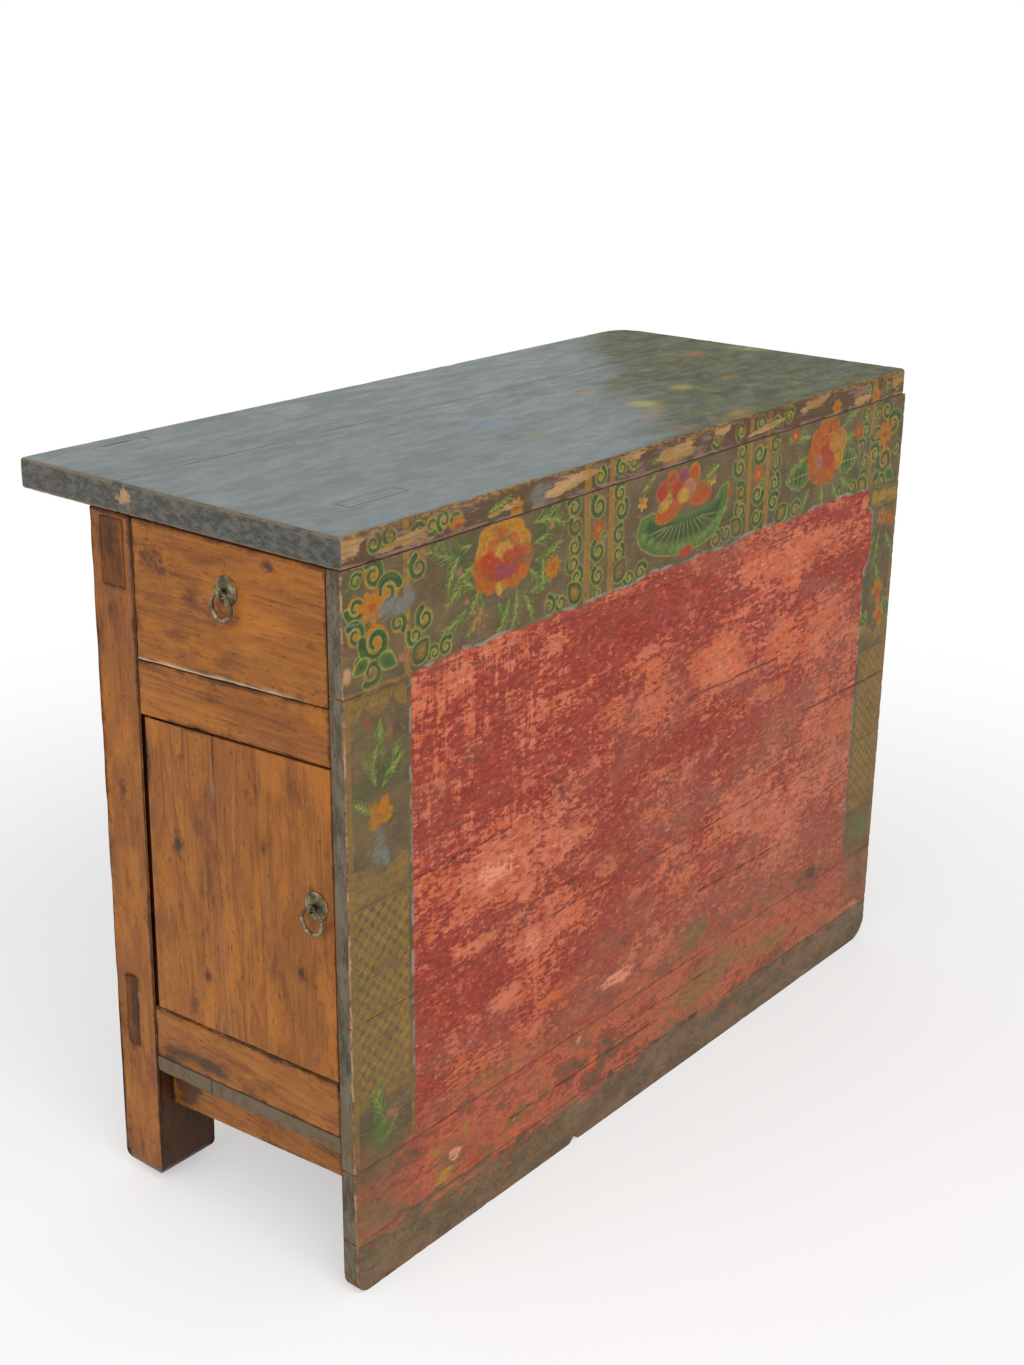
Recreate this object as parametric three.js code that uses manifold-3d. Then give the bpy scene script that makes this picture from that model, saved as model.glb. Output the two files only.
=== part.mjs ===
// A low painted cabinet with one drawer and one door, both in its left end.
// Its long front is a painted wall of boards. Its plank top hangs over the two splayed rear legs.
// Millimetres. X runs along the painted front from the drawer end, Y from the painted front to the rear,
// Z up. The finished group has its origin under its middle, on the floor.
import * as THREE from "three";
import { mergeVertices } from "three/addons/utils/BufferGeometryUtils.js";
import Module from "manifold-3d";

const wasm = await Module();
wasm.setup();

// Overall sizes
const cabinetLength = 1104;
const cabinetHeight = 860;
const carcassDepth = 370;
const rearOverhang = 115;

// Clearances
const fit = 0.3;
const overrun = 5;

// Top: two planks, keys under their joint, patches over old mortises
const topThickness = 34;
const topEase = 2;
const frontPlankShare = 0.664;
const topLeftRadius = 6;
const topRightRadius = 14;
const topRearRadius = 44;
const keyWidth = 40;
const keyFlare = 4;
const keyDepth = 14;
const keyStop = 45;
const keyPlaceShares = [0.22, 0.5, 0.78];
const patchDepth = 15;
const frontPatchLength = 88;
const frontPatchWidth = 20;
const frontPatchStart = 85;
const frontPatchInset = 70;
const rearPatchLength = 74;
const rearPatchWidth = 14;
const rearPatchStart = 78;
const rearPatchInset = 27;

// Painted front: boards edge to edge, worn along the floor
const panelThickness = 20;
const panelEase = 1;
const panelLeftRadius = 26;
const panelRightRadius = 32;
const seamLeftShares = [0.08, 0.188, 0.404, 0.843];
const seamRightShares = [0.069, 0.18, 0.404, 0.817];
const chipWidth = 14;
const chipHeight = 7;
const chipPlaceShare = 0.35;

// Uprights behind the painted front
const postWidth = 76;
const postThickness = 18;
const postStubLength = 40;
const postStubThickness = 9;
const stubHeight = 18;

// Rear legs
const legWidth = 67;
const legDepth = 84;
const legSplay = 16;
const legEase = 1.5;
const footRadius = 24;
const legStubLength = 42;
const legStubThickness = 22;

// Rails and boards of the rear
const backBoardThickness = 12;
const backBoardCount = 4;
const backRecess = 2;
const rearTopRailHeight = 88;
const rearTopRailThickness = 43;
const rearTopTenonHeight = 74;
const rearTopTenonThickness = 35;
const rearLowRailHeight = 96;
const rearLowRailThickness = 26;
const rearLowTenonHeight = 88;
const rearLowTenonThickness = 18;
const rearPostWidth = 50;

// End frames: heights are at the painted front, and the rails drop towards the leg
const rackDrop = 14;
const drawerOpening = 144;
const midRailHeight = 62;
const lowRailHeight = 66;
const lowRailBottom = 194;
const railThickness = 30;
const railEase = 1.5;
const railTenonLength = 22;
const railTenonThickness = 10;
const railTenonShoulder = 9;
const apronInset = 20;
const apronThickness = 20;
const apronHeight = 47;
const apronTaper = 6;
const apronTenonLength = 9;

// Floor boards
const floorThickness = 20;
const floorBattenWidth = 44;
const floorBattenThickness = 26;
const floorSplitShare = 0.72;

// Far end
const endBoardThickness = 18;
const endBoardCount = 3;
const endBoardLap = 14;
const innerRailHeight = 50;
const innerRailThickness = 24;
const innerTenonLength = 9;

// Drawer
const drawerDepth = 400;
const drawerFrontThickness = 18;
const drawerGap = 1.4;
const drawerBoxHeight = 104;
const drawerBoardThickness = 12;
const drawerLift = 3.5;
const drawerBottomThickness = 8;
const drawerBottomLift = 9;
const drawerGroove = 5;
const drawerPlay = 1;
const drawerHeel = 10;
const tailCount = 3;
const tailDepth = 12;
const tailRootShare = 0.56;
const tailTipShare = 0.76;
const runnerWidth = 26;
const runnerHeight = 40;
const runnerLipWidth = 6;
const runnerLipHeight = 12;
const runnerTenonLength = 14;
const runnerTenonInset = 7;
const runnerTenonLift = 4;
const runnerTenonHeight = 12;
const bearerThickness = 26;
const bearerHeight = 46;
const guideThickness = 14;
const guidePlay = 1.5;

// Door
const doorThickness = 18;
const doorGap = 1.6;
const doorHingeGap = 2.2;
const doorSeamShares = [0.39, 0.625];
const doorEase = 0.8;
const pivotRadius = 5.5;
const pivotLength = 13;
const pivotPlay = 0.4;
const chippedEdgeDepth = 7;
const chippedEdgeHeight = 16;
const chippedEdgeHeightShare = 0.83;
const doorBattenWidth = 46;
const doorBattenThickness = 20;
const doorBattenSink = 5;
const doorBattenFlare = 3;
const doorBattenEnd = 22;
const doorBattenHeightShares = [0.17, 0.81];

// Ring pulls
const plateRadius = 16;
const plateThickness = 1.2;
const plateDome = 1.4;
const pullHoleRadius = 3;
const eyeRadius = 4.1;
const eyeWireRadius = 1.1;
const eyeReach = 8;
const pinTailLength = 13;
const ringRadius = 14;
const ringWireRadius = 2;
const drawerPullInset = 140;
const drawerPullDrop = 51;
const doorPullInset = 25;
const doorPullHeightShare = 0.56;

// Lines that several pieces share
const topDepth = carcassDepth + rearOverhang;
const topSeam = frontPlankShare * topDepth;
const underTop = cabinetHeight - topThickness;
const panelBack = panelThickness;
const postBack = panelBack + fit + postThickness;
const postStart = drawerFrontThickness + fit;
const postEnd = postStart + postWidth;
const innerTop = carcassDepth - legWidth;
const leanRate = legSplay / underTop;
const rackRate = rackDrop / (innerTop - panelBack);
const farLeg = cabinetLength - legDepth;
const midRailTop = underTop - drawerOpening;
const midRailBottom = midRailTop - midRailHeight;
const lowRailTop = lowRailBottom + lowRailHeight;
const floorUnder = lowRailBottom - floorThickness;
const backSkin = legWidth - backRecess - backBoardThickness;

// A leg's inner face at a height
const legInner = (z) => innerTop + leanRate * (underTop - z);

// A point at a level height, set off from the leg's inner face
const leanPoint = (z, offset) => [legInner(z) + offset, z];

// A point on a racked line, whose height is given at the back of the painted front
const rackPoint = (height, y) => [y, height - rackRate * (y - panelBack)];

// Where a racked line meets a face that follows the leg's lean
function rackLeanPoint(height, offset) {
  const level = underTop - height - rackRate * panelBack;
  const y = (innerTop + offset + leanRate * level) / (1 - leanRate * rackRate);
  return rackPoint(height, y);
}

// Geometry helpers
function toSolid(geometry) {
  const bare = geometry.clone();
  bare.deleteAttribute("normal");
  bare.deleteAttribute("uv");
  const merged = mergeVertices(bare);
  const mesh = new wasm.Mesh({
    numProp: 3,
    vertProperties: merged.attributes.position.array,
    triVerts: new Uint32Array(merged.index.array),
  });
  return new wasm.Manifold(mesh);
}

function toGeometry(solid) {
  const mesh = solid.getMesh();
  const shared = new THREE.BufferGeometry();
  shared.setAttribute("position", new THREE.BufferAttribute(mesh.vertProperties, mesh.numProp));
  shared.setIndex(new THREE.BufferAttribute(mesh.triVerts, 1));
  const flat = shared.toNonIndexed();
  flat.computeVertexNormals();
  return flat;
}

const carve = (body, ...cutters) =>
  toGeometry(cutters.reduce((left, cutter) => left.subtract(toSolid(cutter)), toSolid(body)));
const fuse = (body, ...others) =>
  toGeometry(others.reduce((whole, other) => whole.add(toSolid(other)), toSolid(body)));
const common = (body, other) => toGeometry(toSolid(body).intersect(toSolid(other)));

function shapeOf(points) {
  return new THREE.Shape(points.map(([across, up]) => new THREE.Vector2(across, up)));
}

// A shape drawn on its own plane, made into a board with eased edges
function board(shape, thickness, ease) {
  return new THREE.ExtrudeGeometry(shape, {
    depth: thickness - 2 * ease,
    bevelEnabled: ease > 0,
    bevelThickness: ease,
    bevelSize: ease,
    bevelOffset: -ease,
    bevelSegments: 1,
    curveSegments: 8,
  }).translate(0, 0, ease);
}

// Boards along each axis. Their outlines are drawn as they are seen along that axis.
function alongX(shape, from, to, ease = 0) {
  const turn = new THREE.Matrix4().makeBasis(
    new THREE.Vector3(0, 1, 0),
    new THREE.Vector3(0, 0, 1),
    new THREE.Vector3(1, 0, 0),
  );
  return board(shape, to - from, ease).applyMatrix4(turn).translate(from, 0, 0);
}

function alongY(shape, from, to, ease = 0) {
  const turn = new THREE.Matrix4().makeRotationX(Math.PI / 2);
  return board(shape, to - from, ease).applyMatrix4(turn).translate(0, to, 0);
}

function alongZ(shape, from, to, ease = 0) {
  return board(shape, to - from, ease).translate(0, 0, from);
}

function block(x, y, z, ease = 0) {
  const outline = [
    [x[0], y[0]],
    [x[1], y[0]],
    [x[1], y[1]],
    [x[0], y[1]],
  ];
  return alongZ(shapeOf(outline), z[0], z[1], ease);
}

// A span made wider at both ends
const grown = (span, by) => [span[0] - by, span[1] + by];

// A round rod along a line that leans with the leg
function leaningRod(radius, low, high, offset, x) {
  const rod = new THREE.CylinderGeometry(radius, radius, high - low, 24);
  rod.rotateX(Math.PI / 2 + Math.atan(leanRate));
  const [y, z] = leanPoint((low + high) / 2, offset);
  return rod.translate(x, y, z);
}

// Materials
const paintedFace = new THREE.MeshStandardMaterial({ color: 0xa8463a, roughness: 0.6 });
const blueGrey = new THREE.MeshStandardMaterial({ color: 0x6f7c7a, roughness: 0.5 });
const honeyWood = new THREE.MeshStandardMaterial({ color: 0xa4601f, roughness: 0.55 });
const rawWood = new THREE.MeshStandardMaterial({ color: 0x7d5a38, roughness: 0.8 });
const agedBrass = new THREE.MeshStandardMaterial({ color: 0x8a8062, roughness: 0.4, metalness: 0.9 });

const cabinet = new THREE.Group();

function piece(name, geometry, material, parent = cabinet) {
  const mesh = new THREE.Mesh(geometry, material);
  mesh.name = name;
  parent.add(mesh);
  return mesh;
}

// Top
const keySpans = keyPlaceShares.map((share) => {
  const middle = share * cabinetLength;
  return [middle - keyWidth / 2, middle + keyWidth / 2];
});

function keyOutline([left, right], grow) {
  return shapeOf([
    [left - grow, underTop - grow],
    [right + grow, underTop - grow],
    [right + keyFlare + grow, underTop + keyDepth + grow],
    [left - keyFlare - grow, underTop + keyDepth + grow],
  ]);
}

const postStub = {
  x: [postStart + (postWidth - postStubLength) / 2, postStart + (postWidth + postStubLength) / 2],
  y: [panelBack + (postThickness - postStubThickness) / 2, panelBack + (postThickness + postStubThickness) / 2],
};
const legStub = {
  x: [(legDepth - legStubLength) / 2, (legDepth + legStubLength) / 2],
  y: [innerTop + (legWidth - legStubThickness) / 2, innerTop + (legWidth + legStubThickness) / 2],
};
const mirrored = (span) => [cabinetLength - span[1], cabinetLength - span[0]];
const stubZ = [underTop - overrun, underTop + stubHeight];
const frontPatch = {
  x: [frontPatchStart, frontPatchStart + frontPatchLength],
  y: [frontPatchInset, frontPatchInset + frontPatchWidth],
};
const rearPatch = {
  x: [rearPatchStart, rearPatchStart + rearPatchLength],
  y: [topDepth - rearPatchInset - rearPatchWidth, topDepth - rearPatchInset],
};
const patchZ = [cabinetHeight - patchDepth, cabinetHeight];

const topCutters = [
  ...keySpans.map((span) => alongY(keyOutline(span, fit), keyStop - fit, topDepth + overrun)),
  ...[postStub.x, mirrored(postStub.x)].map((x) => block(grown(x, fit), grown(postStub.y, fit), stubZ)),
  ...[legStub.x, mirrored(legStub.x)].map((x) => block(grown(x, fit), grown(legStub.y, fit), stubZ)),
  ...[frontPatch, rearPatch].map(({ x, y }) =>
    block(grown(x, fit), grown(y, fit), [patchZ[0] - fit, patchZ[1] + overrun]),
  ),
];

function frontPlankShape() {
  const shape = new THREE.Shape();
  const seam = topSeam - fit / 2;
  shape.moveTo(0, seam);
  shape.lineTo(0, topLeftRadius);
  shape.quadraticCurveTo(0, 0, topLeftRadius, 0);
  shape.lineTo(cabinetLength - topRightRadius, 0);
  shape.quadraticCurveTo(cabinetLength, 0, cabinetLength, topRightRadius);
  shape.lineTo(cabinetLength, seam);
  return shape;
}

function rearPlankShape() {
  const shape = new THREE.Shape();
  const seam = topSeam + fit / 2;
  shape.moveTo(0, seam);
  shape.lineTo(cabinetLength, seam);
  shape.lineTo(cabinetLength, topDepth - topRearRadius);
  shape.quadraticCurveTo(cabinetLength, topDepth, cabinetLength - topRearRadius, topDepth);
  shape.lineTo(topLeftRadius, topDepth);
  shape.quadraticCurveTo(0, topDepth, 0, topDepth - topLeftRadius);
  return shape;
}

const topFront = alongZ(frontPlankShape(), underTop, cabinetHeight, topEase);
const topRear = alongZ(rearPlankShape(), underTop, cabinetHeight, topEase);
piece("top_front_plank", carve(topFront, ...topCutters), blueGrey);
piece("top_rear_plank", carve(topRear, ...topCutters), blueGrey);
piece("top_front_patch", block(frontPatch.x, frontPatch.y, patchZ), blueGrey);
piece("top_rear_patch", block(rearPatch.x, rearPatch.y, patchZ), blueGrey);
["left", "middle", "right"].forEach((place, index) => {
  const key = alongY(keyOutline(keySpans[index], 0), keyStop, topDepth - topEase);
  piece(`top_key_${place}`, key, rawWood);
});

// Painted front
const seamHeights = (share) => [0, ...share.map((part) => part * underTop), underTop];
const seamsLeft = seamHeights(seamLeftShares);
const seamsRight = seamHeights(seamRightShares);
const chipPlace = chipPlaceShare * cabinetLength;

function lowestBoardShape() {
  const shape = new THREE.Shape();
  shape.moveTo(0, seamsLeft[1] - fit / 2);
  shape.lineTo(0, panelLeftRadius);
  shape.quadraticCurveTo(0, 0, panelLeftRadius, 0);
  shape.lineTo(chipPlace - chipWidth / 2, 0);
  shape.lineTo(chipPlace, chipHeight);
  shape.lineTo(chipPlace + chipWidth / 2, 0);
  shape.lineTo(cabinetLength - panelRightRadius, 0);
  shape.quadraticCurveTo(cabinetLength, 0, cabinetLength, panelRightRadius);
  shape.lineTo(cabinetLength, seamsRight[1] - fit / 2);
  return shape;
}

for (let index = 0; index <= seamLeftShares.length; index += 1) {
  const outline = [
    [0, seamsLeft[index] + fit / 2],
    [cabinetLength, seamsRight[index] + fit / 2],
    [cabinetLength, seamsRight[index + 1] - fit / 2],
    [0, seamsLeft[index + 1] - fit / 2],
  ];
  const shape = index ? shapeOf(outline) : lowestBoardShape();
  piece(`face_board_${index + 1}`, alongY(shape, 0, panelThickness, panelEase), paintedFace);
}

// Uprights behind the painted front
const postY = [panelBack + fit, postBack];

function endPost(span, stub) {
  const upright = block(span, postY, [0, underTop - fit], panelEase);
  const tenon = block(stub, postStub.y, [underTop - overrun, underTop + stubHeight - fit]);
  return fuse(upright, tenon);
}

piece("front_left_post", endPost([postStart, postEnd], postStub.x), rawWood);
piece("front_right_post", endPost(mirrored([postStart, postEnd]), mirrored(postStub.x)), rawWood);
const middleX = [(cabinetLength - postWidth) / 2, (cabinetLength + postWidth) / 2];
piece("front_middle_post", block(middleX, postY, [lowRailBottom + fit, underTop - fit], panelEase), rawWood);

// Rails of the rear, whose tenons pass right through the legs
const railFace = backSkin - fit;
const railLower = (height) => [
  rackLeanPoint(lowRailBottom + fit, railFace - rearLowRailThickness),
  rackLeanPoint(lowRailBottom + fit, railFace),
  rackLeanPoint(lowRailBottom + height, railFace),
  rackLeanPoint(lowRailBottom + height, railFace - rearLowRailThickness),
];
const railUpper = [
  leanPoint(underTop - rearTopRailHeight, railFace - rearTopRailThickness),
  leanPoint(underTop - rearTopRailHeight, railFace),
  leanPoint(underTop - fit, railFace),
  leanPoint(underTop - fit, railFace - rearTopRailThickness),
];

function upperTenon(grow) {
  const side = (rearTopRailThickness - rearTopTenonThickness) / 2 - grow;
  const level = (rearTopRailHeight - rearTopTenonHeight) / 2 - grow;
  return shapeOf([
    leanPoint(underTop - rearTopRailHeight + level, railFace - rearTopRailThickness + side),
    leanPoint(underTop - rearTopRailHeight + level, railFace - side),
    leanPoint(underTop - level, railFace - side),
    leanPoint(underTop - level, railFace - rearTopRailThickness + side),
  ]);
}

function lowerTenon(grow) {
  const side = (rearLowRailThickness - rearLowTenonThickness) / 2 - grow;
  const level = (rearLowRailHeight - rearLowTenonHeight) / 2 - grow;
  return shapeOf([
    rackLeanPoint(lowRailBottom + level, railFace - rearLowRailThickness + side),
    rackLeanPoint(lowRailBottom + level, railFace - side),
    rackLeanPoint(lowRailBottom + rearLowRailHeight - level, railFace - side),
    rackLeanPoint(lowRailBottom + rearLowRailHeight - level, railFace - rearLowRailThickness + side),
  ]);
}

// Rear post between the rear rails
const rearPostX = [(cabinetLength - rearPostWidth) / 2, (cabinetLength + rearPostWidth) / 2];
const rearPostTenonX = grown(rearPostX, -railTenonShoulder);
const rearPostTenonLow = lowRailBottom + rearLowRailHeight - railTenonLength;
const rearPostTenonHigh = underTop - rearTopRailHeight + railTenonLength;
const tenonInset = (rearLowRailThickness - railTenonThickness) / 2;

function rearPostTenon(grow) {
  const front = railFace - rearLowRailThickness + tenonInset - grow;
  const rear = railFace - tenonInset + grow;
  return shapeOf([
    rackLeanPoint(rearPostTenonLow - grow, front),
    rackLeanPoint(rearPostTenonLow - grow, rear),
    leanPoint(rearPostTenonHigh + grow, rear),
    leanPoint(rearPostTenonHigh + grow, front),
  ]);
}

const rearPostShape = shapeOf([
  rackLeanPoint(lowRailBottom + rearLowRailHeight + fit, railFace - rearLowRailThickness),
  rackLeanPoint(lowRailBottom + rearLowRailHeight + fit, railFace),
  leanPoint(underTop - rearTopRailHeight - fit, railFace),
  leanPoint(underTop - rearTopRailHeight - fit, railFace - rearLowRailThickness),
]);
const rearPostMortise = alongX(rearPostTenon(fit), ...grown(rearPostTenonX, fit));
const betweenLegs = [legDepth + fit, farLeg - fit];
const rearTopRail = fuse(
  alongX(shapeOf(railUpper), ...betweenLegs, railEase),
  alongX(upperTenon(0), 0, cabinetLength),
);
const rearLowRail = fuse(
  alongX(shapeOf(railLower(rearLowRailHeight)), ...betweenLegs, railEase),
  alongX(lowerTenon(0), 0, cabinetLength),
);
piece("rear_top_rail", carve(rearTopRail, rearPostMortise), rawWood);
piece("rear_bottom_rail", carve(rearLowRail, rearPostMortise), rawWood);

// The cross bearer under the drawer's inner end is tenoned into the rear post
const runnerTop = midRailTop + drawerLift - fit;
const bearerX = [rearPostX[0], rearPostX[0] + bearerThickness];
const bearerZ = [runnerTop - bearerHeight, runnerTop];
const bearerTenonX = grown(bearerX, -(bearerThickness - railTenonThickness) / 2);
const bearerTenonZ = grown(bearerZ, -railTenonShoulder);
const bearerRear = railFace - rearLowRailThickness;
const bearerTenonRear = legInner(bearerZ[0]) + bearerRear + tenonInset;
const bearerMortise = block(grown(bearerTenonX, fit), [panelBack, bearerTenonRear + fit], grown(bearerTenonZ, fit));
const rearPost = fuse(alongX(rearPostShape, ...rearPostX, railEase), alongX(rearPostTenon(0), ...rearPostTenonX));
piece("rear_middle_post", carve(rearPost, bearerMortise), rawWood);

// Rails of the end frames
const railTenonX = grown([0, railThickness], -(railThickness - railTenonThickness) / 2);

function railShape(bottom, top) {
  return shapeOf([
    rackPoint(bottom, panelBack + fit),
    rackLeanPoint(bottom, -fit),
    rackLeanPoint(top, -fit),
    rackPoint(top, panelBack + fit),
  ]);
}

function railTenonShape(bottom, top, grow) {
  const low = bottom + railTenonShoulder - grow;
  const high = top - railTenonShoulder + grow;
  return shapeOf([
    rackLeanPoint(low, -railTenonShoulder),
    rackLeanPoint(low, railTenonLength + grow),
    rackLeanPoint(high, railTenonLength + grow),
    rackLeanPoint(high, -railTenonShoulder),
  ]);
}

const postLap = block(grown([postStart, postEnd], fit), [0, postBack + fit], [0, underTop]);

function endRail(bottom, top) {
  const rail = alongX(railShape(bottom, top), 0, railThickness, railEase);
  const tenon = alongX(railTenonShape(bottom, top, 0), ...railTenonX);
  return carve(fuse(rail, tenon), postLap);
}

const railMortise = (bottom, top) => alongX(railTenonShape(bottom, top, fit), ...grown(railTenonX, fit));

// The aprons grow deeper towards the legs
const apronTop = floorUnder - fit;
const apronX = [apronInset, apronInset + apronThickness];
const apronTenonX = grown(apronX, -(apronThickness - railTenonThickness) / 2);

function apronShape() {
  return shapeOf([
    rackPoint(apronTop - apronHeight, postBack + fit),
    rackLeanPoint(apronTop - apronHeight - apronTaper, -fit),
    rackLeanPoint(apronTop, -fit),
    rackPoint(apronTop, postBack + fit),
  ]);
}

function apronPostTenon(grow) {
  const low = apronTop - apronHeight + railTenonShoulder - grow;
  const high = apronTop - railTenonShoulder + grow;
  const tip = postBack - apronTenonLength - grow;
  return shapeOf([
    rackPoint(low, tip),
    rackPoint(low, postBack + railTenonShoulder),
    rackPoint(high, postBack + railTenonShoulder),
    rackPoint(high, tip),
  ]);
}

const apron = fuse(
  alongX(apronShape(), ...apronX, railEase),
  alongX(railTenonShape(apronTop - apronHeight, apronTop, 0), ...apronTenonX),
  alongX(apronPostTenon(0), ...apronTenonX),
);
const apronMortises = [
  alongX(railTenonShape(apronTop - apronHeight, apronTop, fit), ...grown(apronTenonX, fit)),
  alongX(apronPostTenon(fit), ...grown(apronTenonX, fit)),
];

// Turns a piece of the left end into its match at the far end
const flip = new THREE.Matrix4().makeScale(-1, 1, 1).setPosition(cabinetLength, 0, 0);

function flipped(geometry) {
  const turned = geometry.clone().applyMatrix4(flip);
  const corners = turned.getAttribute("position");
  for (let start = 0; start < corners.count; start += 3) {
    const first = new THREE.Vector3().fromBufferAttribute(corners, start);
    const last = new THREE.Vector3().fromBufferAttribute(corners, start + 2);
    corners.setXYZ(start, last.x, last.y, last.z);
    corners.setXYZ(start + 2, first.x, first.y, first.z);
  }
  turned.computeVertexNormals();
  return turned;
}

// The posts have the aprons' small mortises
const leftPost = cabinet.getObjectByName("front_left_post");
leftPost.geometry = carve(leftPost.geometry, apronMortises[1]);
const rightPost = cabinet.getObjectByName("front_right_post");
rightPost.geometry = carve(rightPost.geometry, flipped(apronMortises[1]));

// The left end's rails
const pivotOffset = -(doorHingeGap + doorThickness / 2);
const pivotX = doorThickness / 2;
const [, highPivotZ] = rackLeanPoint(midRailBottom, pivotOffset);
const [, lowPivotZ] = rackLeanPoint(lowRailTop, pivotOffset);
const pivotBore = leaningRod(
  pivotRadius + pivotPlay,
  lowPivotZ - pivotLength - fit,
  highPivotZ + pivotLength + fit,
  pivotOffset,
  pivotX,
);
const sideBottom = midRailTop + drawerLift;
const runnerZ = [runnerTop - runnerHeight, runnerTop];
const lipTop = runnerTop + runnerLipHeight;
const frontRunnerY = [postBack + fit, postBack + fit + runnerWidth];
const rearRunnerEdge = legInner(lipTop) - fit;
const rearRunnerY = [rearRunnerEdge - runnerWidth, rearRunnerEdge];
const runnerTenonZ = [runnerZ[0] + runnerTenonLift, runnerZ[0] + runnerTenonLift + runnerTenonHeight];
const runnerTenonX = [railThickness + fit - runnerTenonLength, bearerX[0] - fit + runnerTenonLength];
const runnerMortises = [frontRunnerY, rearRunnerY].map((span) =>
  block(grown(runnerTenonX, fit), grown(span, fit - runnerTenonInset), grown(runnerTenonZ, fit)),
);
piece("drawer_rail", carve(endRail(midRailBottom, midRailTop), pivotBore, ...runnerMortises), honeyWood);
piece("left_bottom_rail", carve(endRail(lowRailBottom + fit, lowRailTop), pivotBore), honeyWood);
piece("left_apron", apron, honeyWood);

// Far end: boards lapped over the bottom rail, with two rails behind them
const endBoardBottom = lowRailTop - endBoardLap;
const endBoardX = [cabinetLength - endBoardThickness, cabinetLength];
const boardRebate = alongX(
  shapeOf([
    rackPoint(endBoardBottom - fit, 0),
    rackLeanPoint(endBoardBottom - fit, overrun),
    rackLeanPoint(lowRailTop + overrun, overrun),
    rackPoint(lowRailTop + overrun, 0),
  ]),
  endBoardX[0] - fit,
  endBoardX[1] + overrun,
);
piece("right_bottom_rail", carve(flipped(endRail(lowRailBottom + fit, lowRailTop)), boardRebate), honeyWood);
piece("right_apron", flipped(apron), honeyWood);

const endBoardEdge = (share) => panelBack + share * (innerTop - panelBack);
for (let index = 0; index < endBoardCount; index += 1) {
  const last = index === endBoardCount - 1;
  const near = endBoardEdge(index / endBoardCount) + fit;
  const far = endBoardEdge((index + 1) / endBoardCount);
  const shape = shapeOf([
    rackPoint(endBoardBottom, near),
    last ? rackLeanPoint(endBoardBottom, -fit) : rackPoint(endBoardBottom, far),
    last ? leanPoint(underTop - fit, -fit) : [far, underTop - fit],
    [near, underTop - fit],
  ]);
  piece(`right_end_board_${index + 1}`, alongX(shape, ...endBoardX, doorEase), honeyWood);
}

const innerRailX = [endBoardX[0] - fit - innerRailThickness, endBoardX[0] - fit];
const innerTenonX = grown(innerRailX, -(innerRailThickness - railTenonThickness) / 2);
const innerRails = [
  ["right_upper_rail", underTop - fit - innerRailHeight, underTop - fit],
  ["right_middle_rail", midRailBottom, midRailBottom + innerRailHeight],
];

function innerRailShape(bottom, top) {
  return shapeOf([[postBack + fit, bottom], leanPoint(bottom, -fit), leanPoint(top, -fit), [postBack + fit, top]]);
}

function innerTenonShape(bottom, top, grow) {
  const low = bottom + railTenonShoulder - grow;
  const high = top - railTenonShoulder + grow;
  return shapeOf([
    leanPoint(low, -railTenonShoulder),
    leanPoint(low, innerTenonLength + grow),
    leanPoint(high, innerTenonLength + grow),
    leanPoint(high, -railTenonShoulder),
  ]);
}

const innerMortises = innerRails.map(([name, bottom, top]) => {
  const rail = alongX(innerRailShape(bottom, top), ...innerRailX, railEase);
  piece(name, fuse(rail, alongX(innerTenonShape(bottom, top, 0), ...innerTenonX)), rawWood);
  return alongX(innerTenonShape(bottom, top, fit), ...grown(innerTenonX, fit));
});

// Rear legs
function legSide() {
  const backAt = (z) => legInner(z) + legWidth;
  const shape = new THREE.Shape();
  shape.moveTo(backAt(underTop - fit), underTop - fit);
  shape.lineTo(legInner(underTop - fit), underTop - fit);
  shape.absarc(legInner(0) + footRadius, footRadius, footRadius, Math.PI, (3 * Math.PI) / 2);
  shape.absarc(backAt(0) - footRadius, footRadius, footRadius, -Math.PI / 2, 0);
  return shape;
}

function legFront() {
  const shape = new THREE.Shape();
  shape.moveTo(legDepth, cabinetHeight);
  shape.lineTo(0, cabinetHeight);
  shape.absarc(footRadius, footRadius, footRadius, Math.PI, (3 * Math.PI) / 2);
  shape.absarc(legDepth - footRadius, footRadius, footRadius, -Math.PI / 2, 0);
  return shape;
}

const legBlank = common(
  alongX(legSide(), 0, legDepth, legEase),
  alongY(legFront(), innerTop - overrun, legInner(0) + legWidth + overrun),
);
const legTenon = block(legStub.x, legStub.y, [underTop - overrun, underTop + stubHeight - fit]);
const throughMortises = [upperTenon(fit), lowerTenon(fit)].map((shape) => alongX(shape, -overrun, legDepth + overrun));
const leg = carve(fuse(legBlank, legTenon), ...throughMortises, apronMortises[0]);
const lowMortise = railMortise(lowRailBottom + fit, lowRailTop);
piece("rear_left_leg", carve(leg, lowMortise, railMortise(midRailBottom, midRailTop)), honeyWood);
piece("rear_right_leg", carve(flipped(carve(leg, lowMortise)), ...innerMortises), honeyWood);

// Floor boards, notched round the uprights and the legs
const floorSplit = panelBack + floorSplitShare * (innerTop - panelBack);
const legNotchShape = shapeOf([
  leanPoint(0, -fit),
  [topDepth, 0],
  [topDepth, lowRailTop],
  leanPoint(lowRailTop, -fit),
]);
const legNotches = [
  alongX(legNotchShape, -overrun, legDepth + fit),
  alongX(legNotchShape, farLeg - fit, cabinetLength + overrun),
];
const postNotches = [[postStart, postEnd], mirrored([postStart, postEnd])].map((span) =>
  block(grown(span, fit), [0, postBack + fit], [0, lowRailTop]),
);

function floorShape(start, end) {
  return shapeOf([start(floorUnder), end(floorUnder), end(lowRailBottom), start(lowRailBottom)]);
}

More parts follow.
